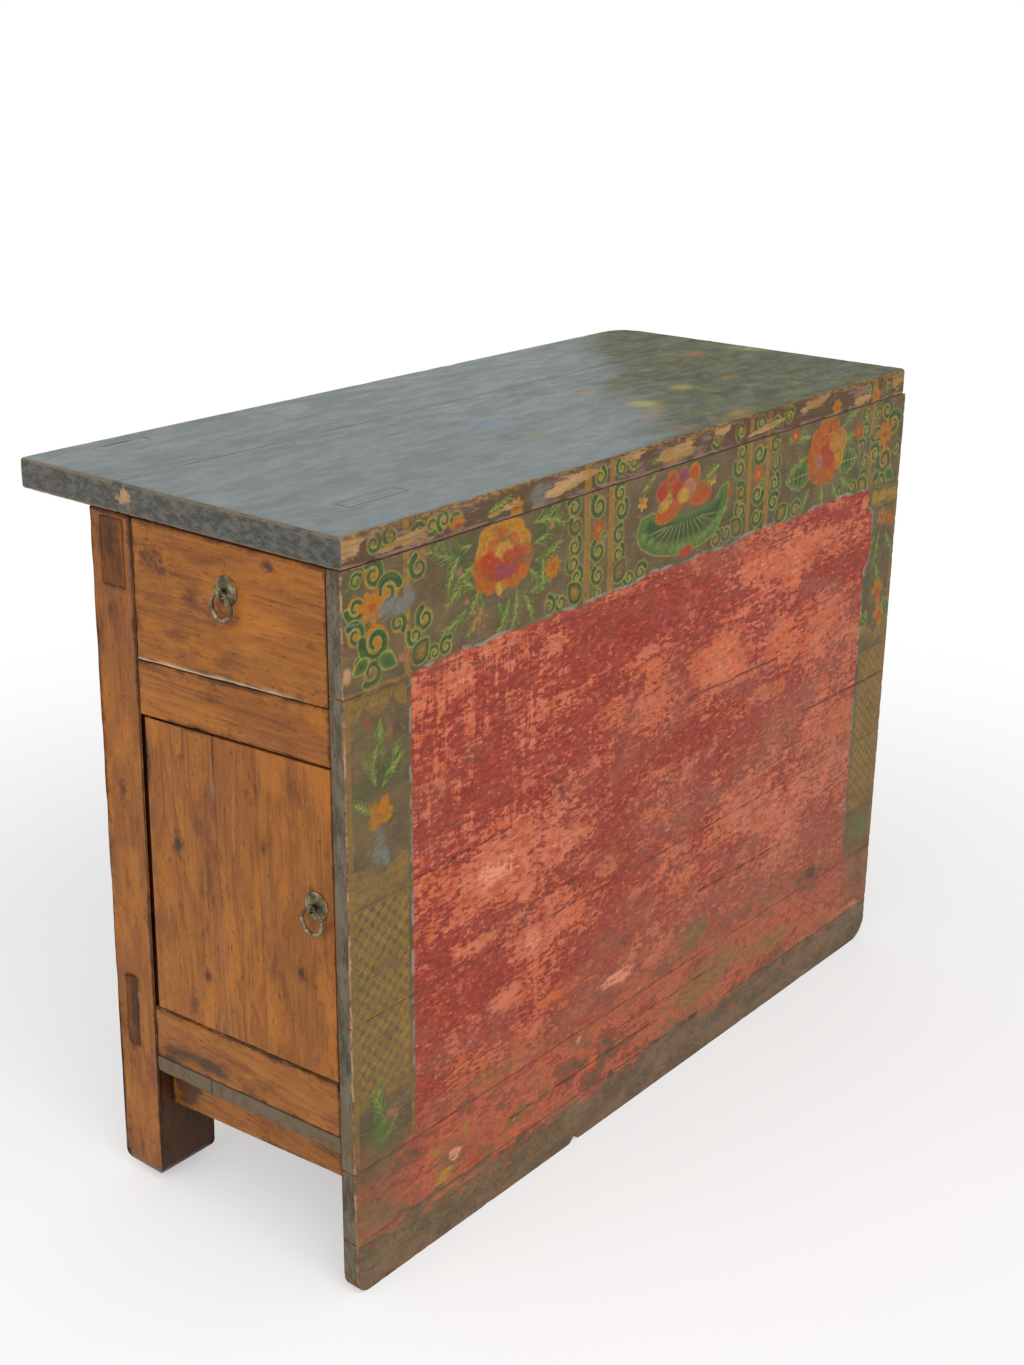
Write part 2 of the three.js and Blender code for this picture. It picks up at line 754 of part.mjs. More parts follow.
const floorFront = floorShape(
  (height) => rackPoint(height, panelBack + fit),
  (height) => rackPoint(height, floorSplit - fit / 2),
);
const floorRear = floorShape(
  (height) => rackPoint(height, floorSplit + fit / 2),
  (height) => rackLeanPoint(height, railFace),
);
piece("floor_front_board", carve(alongX(floorFront, 0, cabinetLength, panelEase), ...postNotches), rawWood);
piece("floor_rear_board", carve(alongX(floorRear, 0, cabinetLength, panelEase), ...legNotches), rawWood);

const battenX = [(cabinetLength - floorBattenWidth) / 2, (cabinetLength + floorBattenWidth) / 2];
const battenShape = shapeOf([
  rackPoint(floorUnder - fit - floorBattenThickness, panelBack + fit),
  rackLeanPoint(floorUnder - fit - floorBattenThickness, railFace),
  rackLeanPoint(floorUnder - fit, railFace),
  rackPoint(floorUnder - fit, panelBack + fit),
]);
piece("floor_batten", alongX(battenShape, ...battenX, railEase), rawWood);

// Back boards, nailed upright over the rear rails and the rear post
const backWidth = (betweenLegs[1] - betweenLegs[0]) / backBoardCount;
const backShape = shapeOf([
  rackLeanPoint(floorUnder, backSkin),
  rackLeanPoint(floorUnder, backSkin + backBoardThickness),
  leanPoint(underTop - fit, backSkin + backBoardThickness),
  leanPoint(underTop - fit, backSkin),
]);
for (let index = 0; index < backBoardCount; index += 1) {
  const start = betweenLegs[0] + index * backWidth;
  const geometry = alongX(backShape, start + fit / 2, start + backWidth - fit / 2, panelEase);
  piece(`back_board_${index + 1}`, geometry, rawWood);
}

// Drawer runners, each with a guide lip and a tenon at both ends
function runner(span, lip) {
  const base = block([railThickness + fit, bearerX[0] - fit], span, runnerZ);
  const guide = block([railThickness + fit, bearerX[0] - fit], lip, [runnerTop - overrun, lipTop]);
  const tenon = block(runnerTenonX, grown(span, -runnerTenonInset), runnerTenonZ);
  return fuse(base, guide, tenon);
}

const frontLip = [frontRunnerY[0], frontRunnerY[0] + runnerLipWidth];
const rearLip = [rearRunnerY[1] - runnerLipWidth, rearRunnerY[1]];
piece("drawer_front_runner", runner(frontRunnerY, frontLip), rawWood);
piece("drawer_rear_runner", runner(rearRunnerY, rearLip), rawWood);

const bearerShape = shapeOf([
  [postBack + fit, bearerZ[0]],
  leanPoint(bearerZ[0], bearerRear - fit),
  leanPoint(bearerZ[1], bearerRear - fit),
  [postBack + fit, bearerZ[1]],
]);
const bearerTenon = block(bearerTenonX, [panelBack + postThickness + overrun, bearerTenonRear], bearerTenonZ);
const bearer = fuse(alongX(bearerShape, ...bearerX, railEase), bearerTenon);
piece("drawer_bearer", carve(bearer, ...runnerMortises), rawWood);

// Drawer
const drawer = new THREE.Group();
cabinet.add(drawer);
const boxY = [frontLip[1] + drawerPlay, rearLip[0] - drawerPlay];
const boxTop = sideBottom + drawerBoxHeight;
const boxRear = drawerDepth;
const innerY = grown(boxY, -drawerBoardThickness);
const tailPitch = drawerBoxHeight / tailCount;
const bottomZ = [sideBottom + drawerBottomLift, sideBottom + drawerBottomLift + drawerBottomThickness];
const backX = [boxRear - drawerHeel - drawerBoardThickness, boxRear - drawerHeel];
const sideStart = drawerFrontThickness + fit;
const tailTip = drawerFrontThickness - tailDepth;

function tailShape(index, grow) {
  const middle = sideBottom + (index + 1 / 2) * tailPitch;
  const root = (tailPitch * tailRootShare) / 2 + grow;
  const tip = (tailPitch * tailTipShare) / 2 + grow;
  return shapeOf([
    [tailTip - grow, middle - tip],
    [sideStart + grow, middle - root],
    [sideStart + grow, middle + root],
    [tailTip - grow, middle + tip],
  ]);
}

const tails = Array.from({ length: tailCount }, (_, index) => index);
const sideSpans = [
  [boxY[0], innerY[0]],
  [innerY[1], boxY[1]],
];
const bottomGroove = block(
  [tailTip, boxRear + overrun],
  grown(innerY, drawerGroove + fit),
  grown(bottomZ, fit),
);
const backHousing = block(grown(backX, fit), grown(innerY, drawerGroove + fit), [bottomZ[1], boxTop + overrun]);
const frontGroove = block(
  [sideStart - drawerGroove - fit, sideStart + overrun],
  grown(innerY, -fit),
  grown(bottomZ, fit),
);
const pullHole = (y, z) =>
  new THREE.CylinderGeometry(pullHoleRadius, pullHoleRadius, 4 * drawerFrontThickness, 16)
    .rotateZ(Math.PI / 2)
    .translate(0, y, z);
const drawerPull = [panelBack + drawerPullInset, underTop - drawerPullDrop];
const drawerFrontShape = shapeOf([
  rackPoint(midRailTop + drawerGap, panelBack + drawerGap),
  rackLeanPoint(midRailTop + drawerGap, -drawerGap),
  leanPoint(underTop - drawerGap, -drawerGap),
  [panelBack + drawerGap, underTop - drawerGap],
]);
const sockets = sideSpans.flatMap((span) =>
  tails.map((index) => alongY(tailShape(index, fit), ...grown(span, fit))),
);
piece(
  "drawer_front",
  carve(
    alongX(drawerFrontShape, 0, drawerFrontThickness, doorEase),
    ...sockets,
    frontGroove,
    pullHole(...drawerPull),
  ),
  honeyWood,
  drawer,
);
["front", "rear"].forEach((place, sideIndex) => {
  const span = sideSpans[sideIndex];
  const plank = block([sideStart, boxRear], span, [sideBottom, boxTop]);
  const side = fuse(plank, ...tails.map((index) => alongY(tailShape(index, 0), ...span)));
  const grooveInSide = common(bottomGroove, block([sideStart, boxRear + overrun], grown(span, overrun), grown(bottomZ, fit)));
  piece(`drawer_${place}_side`, carve(side, grooveInSide, backHousing), rawWood, drawer);
});
piece(
  "drawer_back",
  block(backX, grown(innerY, drawerGroove), [bottomZ[1] + fit, boxTop]),
  rawWood,
  drawer,
);
const bottomShape = shapeOf([
  [sideStart - drawerGroove, innerY[0] + fit + fit],
  [sideStart + fit, innerY[0] + fit + fit],
  [sideStart + fit, innerY[0] - drawerGroove],
  [boxRear, innerY[0] - drawerGroove],
  [boxRear, innerY[1] + drawerGroove],
  [sideStart + fit, innerY[1] + drawerGroove],
  [sideStart + fit, innerY[1] - fit - fit],
  [sideStart - drawerGroove, innerY[1] - fit - fit],
]);
piece("drawer_bottom", alongZ(bottomShape, ...bottomZ), rawWood, drawer);

// Guides over the drawer's sides stop it from tipping
["front", "rear"].forEach((place, sideIndex) => {
  const middle = (sideSpans[sideIndex][0] + sideSpans[sideIndex][1]) / 2;
  const y = [middle - guideThickness / 2, middle + guideThickness / 2];
  const guide = block([railThickness + fit, bearerX[1]], y, [boxTop + guidePlay, underTop - fit], doorEase);
  piece(`drawer_${place}_guide`, guide, rawWood);
});

// Door: upright boards held by dovetailed battens, turning on round pivots cut on the hinge board
const door = new THREE.Group();
cabinet.add(door);
const doorBottom = lowRailTop + doorGap;
const doorTop = midRailBottom - doorGap;
const doorEdge = panelBack + doorGap;
const [hingeLine] = rackLeanPoint(doorTop, pivotOffset);
const doorSeams = doorSeamShares.map((share) => doorEdge + share * (hingeLine - doorEdge));
const battenMiddles = doorBattenHeightShares.map((share) => doorBottom + share * (doorTop - doorBottom));
const doorPull = [panelBack + doorPullInset, doorBottom + doorPullHeightShare * (doorTop - doorBottom)];

function battenShapeAt(middle, grow) {
  const half = doorBattenWidth / 2 + grow;
  const inner = doorThickness - doorBattenSink - grow;
  return shapeOf([
    [inner, middle - half - doorBattenFlare],
    [doorThickness, middle - half],
    [doorThickness - doorBattenSink + doorBattenThickness + grow, middle - half],
    [doorThickness - doorBattenSink + doorBattenThickness + grow, middle + half],
    [doorThickness, middle + half],
    [inner, middle + half + doorBattenFlare],
  ]);
}

const doorBattenY = [postBack + doorBattenEnd, hingeLine - doorBattenEnd];
const battenGrooves = battenMiddles.map((middle) => alongY(battenShapeAt(middle, fit), ...grown(doorBattenY, fit)));

function doorBoard(near, far, ease) {
  const shape = shapeOf([
    rackPoint(doorBottom, near),
    rackPoint(doorBottom, far),
    rackPoint(doorTop, far),
    rackPoint(doorTop, near),
  ]);
  return alongX(shape, 0, doorThickness, ease);
}

const [narrowSeam, wideSeam] = doorSeams;
const edgeBoard = doorBoard(doorEdge, narrowSeam - fit / 2, doorEase);
piece("door_edge_board", carve(edgeBoard, ...battenGrooves, pullHole(...doorPull)), honeyWood, door);
const middleBoard = doorBoard(narrowSeam + fit / 2, wideSeam - fit / 2, doorEase);
piece("door_middle_board", carve(middleBoard, ...battenGrooves), honeyWood, door);

const hingeSlab = alongX(
  shapeOf([
    rackPoint(doorBottom, wideSeam + fit / 2),
    rackLeanPoint(doorBottom, pivotOffset),
    rackLeanPoint(doorTop, pivotOffset),
    rackPoint(doorTop, wideSeam + fit / 2),
  ]),
  0,
  doorThickness,
);
const hingeRound = common(
  leaningRod(doorThickness / 2, doorBottom - 2 * rackDrop, doorTop + rackDrop, pivotOffset, pivotX),
  doorBoard(wideSeam, carcassDepth + legSplay, 0),
);
const pivots = leaningRod(pivotRadius, lowPivotZ - pivotLength, highPivotZ + pivotLength, pivotOffset, pivotX);
const chipZ = doorBottom + chippedEdgeHeightShare * (doorTop - doorBottom);
const [chipEdge] = leanPoint(chipZ, pivotOffset + doorThickness / 2);
const edgeChip = alongX(
  shapeOf([
    [chipEdge - chippedEdgeDepth, chipZ],
    [chipEdge + overrun, chipZ - chippedEdgeHeight / 2],
    [chipEdge + overrun, chipZ + chippedEdgeHeight],
  ]),
  -overrun,
  doorThickness / 2,
);
const hingeBoard = carve(fuse(hingeSlab, hingeRound, pivots), ...battenGrooves, edgeChip);
piece("door_hinge_board", hingeBoard, honeyWood, door);
["lower", "upper"].forEach((place, index) => {
  const batten = alongY(battenShapeAt(battenMiddles[index], 0), ...doorBattenY);
  piece(`door_${place}_batten`, batten, rawWood, door);
});

// Ring pulls: a domed plate, a split pin whose eye stands out in front, and a ring in the eye
const eyeX = -eyeReach;
const ringDrop = eyeRadius - eyeWireRadius - ringWireRadius - fit;
const eyeAcrossShares = [1.4, 0.92, 0.28, -0.55, -1, -0.55, 0.28, 0.92, 1.4];
const eyeUpShares = [0.32, 0.6, 1, 0.84, 0, -0.84, -1, -0.6, -0.32];
const tailBendShares = [0.5, 1.7, 2.6];
const tailRiseShares = [0.32, 0.55, 1.3];

function pinPath() {
  const tailX = drawerFrontThickness + fit + eyeWireRadius;
  const half = tailRiseShares.map((rise, index) => [tailX + tailBendShares[index] * eyeWireRadius, rise * eyeRadius]);
  const legs = [[0, half[0][1]], [drawerFrontThickness, half[0][1]], ...half, [tailX, pinTailLength]];
  const up = legs.map(([x, z]) => new THREE.Vector3(x, 0, z));
  const down = legs.map(([x, z]) => new THREE.Vector3(x, 0, -z));
  const eye = eyeAcrossShares.map(
    (across, index) => new THREE.Vector3(eyeX + across * eyeRadius, 0, eyeUpShares[index] * eyeRadius),
  );
  return new THREE.CatmullRomCurve3([...up.reverse(), ...eye, ...down], false, "centripetal");
}

function wireSection() {
  const section = new THREE.Shape();
  section.absellipse(0, 0, eyeWireRadius, eyeWireRadius, 0, 2 * Math.PI);
  return new THREE.Shape(section.getPoints(8).slice(1));
}

function ringPull(prefix, y, z) {
  const pull = new THREE.Group();
  pull.position.set(0, y, z);
  const domeRadius = plateRadius - plateThickness;
  const profile = [
    [pullHoleRadius, 0],
    [plateRadius, 0],
    [plateRadius, plateThickness / 2],
    [domeRadius, plateThickness],
    [plateRadius / 2, plateThickness + plateDome / 2],
    [pullHoleRadius, plateThickness + plateDome],
    [pullHoleRadius, 0],
  ].map(([radius, height]) => new THREE.Vector2(radius, height));
  const plate = new THREE.LatheGeometry(profile, 24);
  piece(`${prefix}_pull_plate`, plate.rotateZ(Math.PI / 2).translate(-fit, 0, 0), agedBrass, pull);
  const wire = new THREE.ExtrudeGeometry(wireSection(), { steps: 60, extrudePath: pinPath() });
  piece(`${prefix}_pull_pin`, wire, agedBrass, pull);
  const ring = new THREE.TorusGeometry(ringRadius, ringWireRadius, 10, 36).rotateY(Math.PI / 2);
  const ringMesh = piece(`${prefix}_pull_ring`, ring, agedBrass, pull);
  ringMesh.position.set(eyeX, 0, -ringDrop - ringRadius);
  return pull;
}

drawer.add(ringPull("drawer", ...drawerPull));
door.add(ringPull("door", ...doorPull));

// The finished part, with its origin under its middle
const extent = new THREE.Box3().setFromObject(cabinet);
const centre = extent.getCenter(new THREE.Vector3());
cabinet.position.set(-centre.x, -centre.y, -extent.min.z);
const part = new THREE.Group();
part.add(cabinet);

export default part;
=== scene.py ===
"""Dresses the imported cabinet: worn boards, a painted front, old wood, brass pulls and a plain stage.

Sizes inside the helpers are millimetres in the cabinet's own frame: X along the painted front from the
drawer end, Y from the front to the rear, Z up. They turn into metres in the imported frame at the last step.
"""

import math

import bmesh
import bpy
import numpy as np
from bpy.props import FloatProperty, FloatVectorProperty, PointerProperty
from bpy.types import Operator, Panel, PropertyGroup
from mathutils import Matrix, Vector


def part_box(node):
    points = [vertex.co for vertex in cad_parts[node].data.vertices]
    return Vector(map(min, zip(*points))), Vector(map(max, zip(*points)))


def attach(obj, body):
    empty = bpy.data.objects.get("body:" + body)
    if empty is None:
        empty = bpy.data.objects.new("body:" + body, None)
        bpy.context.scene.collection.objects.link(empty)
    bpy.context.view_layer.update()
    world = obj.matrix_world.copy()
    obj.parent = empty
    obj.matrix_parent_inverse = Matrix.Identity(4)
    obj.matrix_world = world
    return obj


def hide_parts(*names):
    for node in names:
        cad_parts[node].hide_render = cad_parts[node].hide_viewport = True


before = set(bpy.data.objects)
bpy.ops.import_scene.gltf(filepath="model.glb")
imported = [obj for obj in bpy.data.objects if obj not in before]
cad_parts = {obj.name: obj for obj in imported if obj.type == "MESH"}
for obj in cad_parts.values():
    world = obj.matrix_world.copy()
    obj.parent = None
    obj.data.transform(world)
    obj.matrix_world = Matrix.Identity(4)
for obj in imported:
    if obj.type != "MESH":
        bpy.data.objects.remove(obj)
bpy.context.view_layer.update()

bl_info = {
    "name": "Painted side cabinet",
    "version": (1, 0, 0),
    "blender": (4, 5, 0),
    "location": "3D View > Sidebar > Cabinet",
    "description": "Dresses a low painted cabinet that has one drawer and one door in its end",
    "category": "Add Mesh",
}

MM = 0.001
PI = math.pi
WHITE = (1, 1, 1)

# The cabinet's own corner: the foot of the painted front at the drawer end
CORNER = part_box("face_board_1")[0]
FAR_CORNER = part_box("face_board_5")[1]
LENGTH = (FAR_CORNER.x - CORNER.x) / MM
THICKNESS = (FAR_CORNER.y - CORNER.y) / MM
FACE_TOP = FAR_CORNER.z / MM
# The top's upper face and its rear edge
TOP, DEPTH = 860, 485


def linear(red, green, blue):
    """A colour written from 0 to 255, as the shaders take it."""
    parts = [part / 255 for part in (red, green, blue)]
    return tuple(p / 12.92 if p <= 0.04045 else ((p + 0.055) / 1.055) ** 2.4 for p in parts)


# Smooth noise for wear and for ragged lines


def scatter(cells, seed):
    """One steady number from -1 to 1 for each whole cell."""
    x, y, z = (cells[..., axis].astype(np.uint32) for axis in range(3))
    mixed = x * np.uint32(374761393) + y * np.uint32(668265263) + z * np.uint32(2246822519)
    mixed = mixed + np.uint32((seed * 3266489917) & 0xFFFFFFFF)
    mixed = (mixed ^ (mixed >> np.uint32(13))) * np.uint32(1274126177)
    mixed = mixed ^ (mixed >> np.uint32(16))
    return mixed.astype(np.float64) / 0x7FFFFFFF - 1


def noise_at(points, cell, seed=0):
    """Smooth noise from -1 to 1, with features about a cell wide. A cell has one size or one for each axis."""
    scaled = np.asarray(points, float) / cell
    base = np.floor(scaled).astype(np.int64)
    part = scaled - base
    ease = part * part * (3 - 2 * part)
    total = 0
    for corner in np.ndindex(2, 2, 2):
        share = np.prod(np.where(corner, ease, 1 - ease), axis=-1)
        total = total + share * scatter(base + np.array(corner), seed)
    return total


def rough_noise(points, cell, layers=3, seed=0):
    """Noise with finer layers added."""
    total, weight, size = 0, 1, np.asarray(cell, float)
    for layer in range(layers):
        total = total + weight * noise_at(points, size, seed + 17 * layer)
        weight, size = weight / 2, size / 2.1
    return total / (2 - 2 * weight)


def step_up(value, low, high):
    """0 below low, 1 above high, and smooth between them. It falls where low is the greater."""
    part = np.clip((value - low) / (high - low), 0, 1)
    return part * part * (3 - 2 * part)


def spots_at(x, z, places):
    """Soft spots added up. A row gives a spot's middle, its reach both ways, and its strength."""
    total = np.zeros_like(x)
    for across, up, wide, tall, strength in places:
        total += strength * np.exp(-(((x - across) / wide) ** 2) - ((z - up) / tall) ** 2)
    return total


def on_plane(x, z):
    """Points for the noise, with nothing along the third axis."""
    return np.stack([x, z + 0 * x, 0 * x], axis=1)


def along_line(points, start, end):
    """For each point, its share of the way along a line, and how far it is from the line."""
    along = end - start
    share = np.clip(((points - start) @ along) / max(along @ along, 1e-9), 0, 1)
    return share, np.linalg.norm(points - start - share[:, None] * along, axis=1)


# Meshes


def to_frame(points):
    """Millimetres in the cabinet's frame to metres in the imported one."""
    return np.asarray(points) * MM + np.array([CORNER.x, CORNER.y, 0])


def from_frame(points):
    return (np.asarray(points) - np.array([CORNER.x, CORNER.y, 0])) / MM


def link(name, mesh):
    piece = bpy.data.objects.new(name, mesh)
    bpy.context.scene.collection.objects.link(piece)
    return piece


def points_of(mesh):
    flat = np.empty(len(mesh.vertices) * 3)
    mesh.vertices.foreach_get("co", flat)
    return flat.reshape(-1, 3)


def normals_of(mesh):
    flat = np.empty(len(mesh.vertices) * 3, np.float32)
    mesh.vertex_normals.foreach_get("vector", flat)
    return flat.reshape(-1, 3)


def set_points(mesh, points):
    mesh.vertices.foreach_set("co", np.asarray(points, np.float32).ravel())
    mesh.update()


def keep(mesh, name, values, kind="FLOAT", field="value"):
    """Stores one value for each point, under a name that the materials read."""
    layer = mesh.attributes.new(name, kind, "POINT")
    layer.data.foreach_set(field, np.asarray(values, np.float32).ravel())


def keep_colour(mesh, name, values):
    keep(mesh, name, values, "FLOAT_COLOR", "color")


def mesh_from_rings(name, rings):
    """A closed skin over rings of points, capped at both ends. The caps are the last two faces."""
    count, around = rings.shape[:2]
    mesh = bpy.data.meshes.new(name)
    mesh.vertices.add(count * around)
    mesh.vertices.foreach_set("co", to_frame(rings).astype(np.float32).ravel())
    first = np.arange(count - 1)[:, None] * around
    here, after = np.arange(around), (np.arange(around) + 1) % around
    quads = np.stack([first + here, first + around + here, first + around + after, first + after], axis=-1)
    ends = np.concatenate([here, (count - 1) * around + here[::-1]])
    corners = np.concatenate([quads.ravel(), ends])
    sides = quads.shape[0] * quads.shape[1]
    mesh.loops.add(len(corners))
    mesh.loops.foreach_set("vertex_index", corners)
    mesh.polygons.add(sides + 2)
    starts = np.concatenate([np.arange(sides) * 4, [sides * 4, sides * 4 + around]])
    mesh.polygons.foreach_set("loop_start", starts)
    mesh.update(calc_edges=True)
    return mesh


def sharp_lines(shape, tight=(), angle=0.5):
    """The ends of each edge where two faces meet at more than the angle.

    Edges that lie in a tight joint, given as its axis and place in millimetres, are left out."""
    kept = [edge for edge in shape.edges if len(edge.link_faces) == 2 and edge.calc_face_angle(0) > angle]
    for axis, place in tight:
        kept = [
            edge for edge in kept
            if any(abs(from_frame(vertex.co)[axis] - place) > 1.5 for vertex in edge.verts)
        ]
    lines = [[list(vertex.co) for vertex in edge.verts] for edge in kept]
    return kept, from_frame(np.array(lines).reshape(-1, 2, 3))


def distance_to(lines, points):
    """How far each point is from the nearest of the lines."""
    nearest = np.full(len(points), 1e6)
    for start, end in lines:
        nearest = np.minimum(nearest, along_line(points, start, end)[1])
    return nearest


def sliced(shape, axis, cell, faces=None):
    """Cuts the faces by level planes a cell apart, so that wear has points to move."""
    faces = faces or shape.faces[:]
    places = [vertex.co[axis] for face in faces for vertex in face.verts]
    low, high = min(places), max(places)
    count = max(1, round((high - low) / (cell * MM)))
    cut_between(shape, axis, [low + (high - low) * index / count for index in range(1, count)], faces)


def cut_between(shape, axis, places, faces):
    """Cuts at the middle plane, then does the same on either side of it."""
    if not places:
        return
    half = len(places) // 2
    middle = places[half]
    crossed = [face for face in faces if spans(face, axis, middle)]
    edges = {edge for face in crossed for edge in face.edges}
    corners = {vertex for face in crossed for vertex in face.verts}
    level, normal = [0, 0, 0], [0, 0, 0]
    level[axis], normal[axis] = middle, 1
    made = bmesh.ops.bisect_plane(
        shape, geom=[*crossed, *edges, *corners], plane_co=level, plane_no=normal, dist=1e-6
    )
    taken = set(crossed)
    whole = [face for face in faces if face not in taken]
    pieces = [*whole, *(part for part in made["geom"] if isinstance(part, bmesh.types.BMFace))]
    below, above = [], []
    for face in pieces:
        (below if face.calc_center_median()[axis] < middle else above).append(face)
    cut_between(shape, axis, places[:half], below)
    cut_between(shape, axis, places[half + 1 :], above)


def spans(face, axis, place):
    heights = [vertex.co[axis] for vertex in face.verts]
    return min(heights) < place - 1e-6 and max(heights) > place + 1e-6


def joined_shape(node):
    """A node's solid with its corners joined up."""
    shape = bmesh.new()
    shape.from_mesh(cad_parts[node].data)
    bmesh.ops.remove_doubles(shape, verts=shape.verts, dist=1e-6)
    return shape


def cad_shape(node):
    """A node's solid with its flat faces joined up again."""
    shape = joined_shape(node)
    bmesh.ops.dissolve_limit(shape, angle_limit=0.02, verts=shape.verts, edges=shape.edges)
    return shape


def worn_copy(node, grain, cell, depth, seed, ease=0.9, knots=(), fine=None, dirt=1.0, tight=(), foot=0):
    """A copy of a wooden node whose arrises are broken and whose faces are uneven.

    It only ever loses wood, so it keeps clear of its neighbours. Its points hold the grain's own
    coordinates, how near they are to an arris, and how near to a knot."""
    shape = cad_shape(node)
    edges, lines = sharp_lines(shape, tight)
    bmesh.ops.bevel(
        shape, geom=edges, offset=ease * MM, segments=2, profile=0.6, affect="EDGES", clamp_overlap=True
    )
    bmesh.ops.connect_verts_concave(shape, faces=shape.faces)
    for axis, size in enumerate(cell):
        sliced(shape, axis, size)
    if fine:
        for axis, size in enumerate(fine):
            sliced(shape, axis, size, [face for face in shape.faces if face.normal.y < -0.9])
    if foot:
        sliced(shape, 2, 3, [face for face in shape.faces if face.calc_center_median().z < foot * MM])
    mesh = bpy.data.meshes.new(node)
    shape.edges.index_update()
    sharp = [len(edge.link_faces) == 2 and edge.calc_face_angle(0) > 1.2 for edge in shape.edges]
    shape.to_mesh(mesh)
    shape.free()
    mesh.shade_smooth()
    mesh.attributes.new("sharp_edge", "BOOLEAN", "EDGE").data.foreach_set("value", sharp)
    mesh.update()
    points, normals = from_frame(points_of(mesh)), normals_of(mesh)
    for axis, place in tight:
        touching = np.abs(points[:, axis] - place) < 1
        points[touching, axis] = place + 0.03 * np.sign(points[touching, axis] - place)
        normals[touching, axis] = 0
    near = np.exp(-distance_to(lines, points) / 3.5)
    stretch = np.ones(3)
    stretch[grain] = 7
    waves = 0.5 + 0.5 * rough_noise(points, 26 * stretch, 3, seed)
    nicks = step_up(rough_noise(points, 9 * stretch**0.5, 3, seed + 5), 0.05, 0.7)
    loss = depth * (0.22 * waves + near * (0.25 * waves + 0.9 * nicks))
    set_points(mesh, to_frame(points - normals * loss[:, None]))
    keep_grain(mesh, points, grain, seed, dirt * near, knots)
    keep(mesh, "end_grain", step_up(np.abs(normals[:, grain]), 0.55, 0.85))
    piece = link(node + "_worn", mesh)
    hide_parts(node)
    return piece


def keep_grain(mesh, points, grain, seed, near, knots):
    """Stores what the wood's material reads: along, across and through the grain, arrises and knots."""
    across = [axis for axis in range(3) if axis != grain]
    flow = np.stack([points[:, grain], points[:, across[0]], points[:, across[1]]], axis=1)
    closeness = np.zeros(len(points))
    for middle, size in knots:
        away = points - np.array(middle)
        away[:, grain] *= 0.6
        reach = np.linalg.norm(away, axis=1) / size
        closeness = np.maximum(closeness, np.clip(1 - reach / 2.5, 0, 1))
    for axis, kind in ((1, 3), (2, 8)):
        flow[:, axis] += 16 * closeness * rough_noise(points, 22, 2, seed + kind)
    shift = np.array([seed * 733.0, seed * 217.0, seed * 391.0])
    keep(mesh, "grain", (flow + shift) * MM, "FLOAT_VECTOR", "vector")
    keep(mesh, "arris", near)
    keep(mesh, "knot", closeness)


# Materials


class Field:
    """What a node gives. A number takes plain arithmetic, and each step of it is one node."""

    def __init__(self, shade, socket):
        self.shade, self.socket = shade, socket

    def __add__(self, other):
        return self.shade.maths("ADD", self, other)

    def __sub__(self, other):
        return self.shade.maths("SUBTRACT", self, other)

    def __rsub__(self, other):
        return self.shade.maths("SUBTRACT", other, self)

    def __mul__(self, other):
        return self.shade.maths("MULTIPLY", self, other)


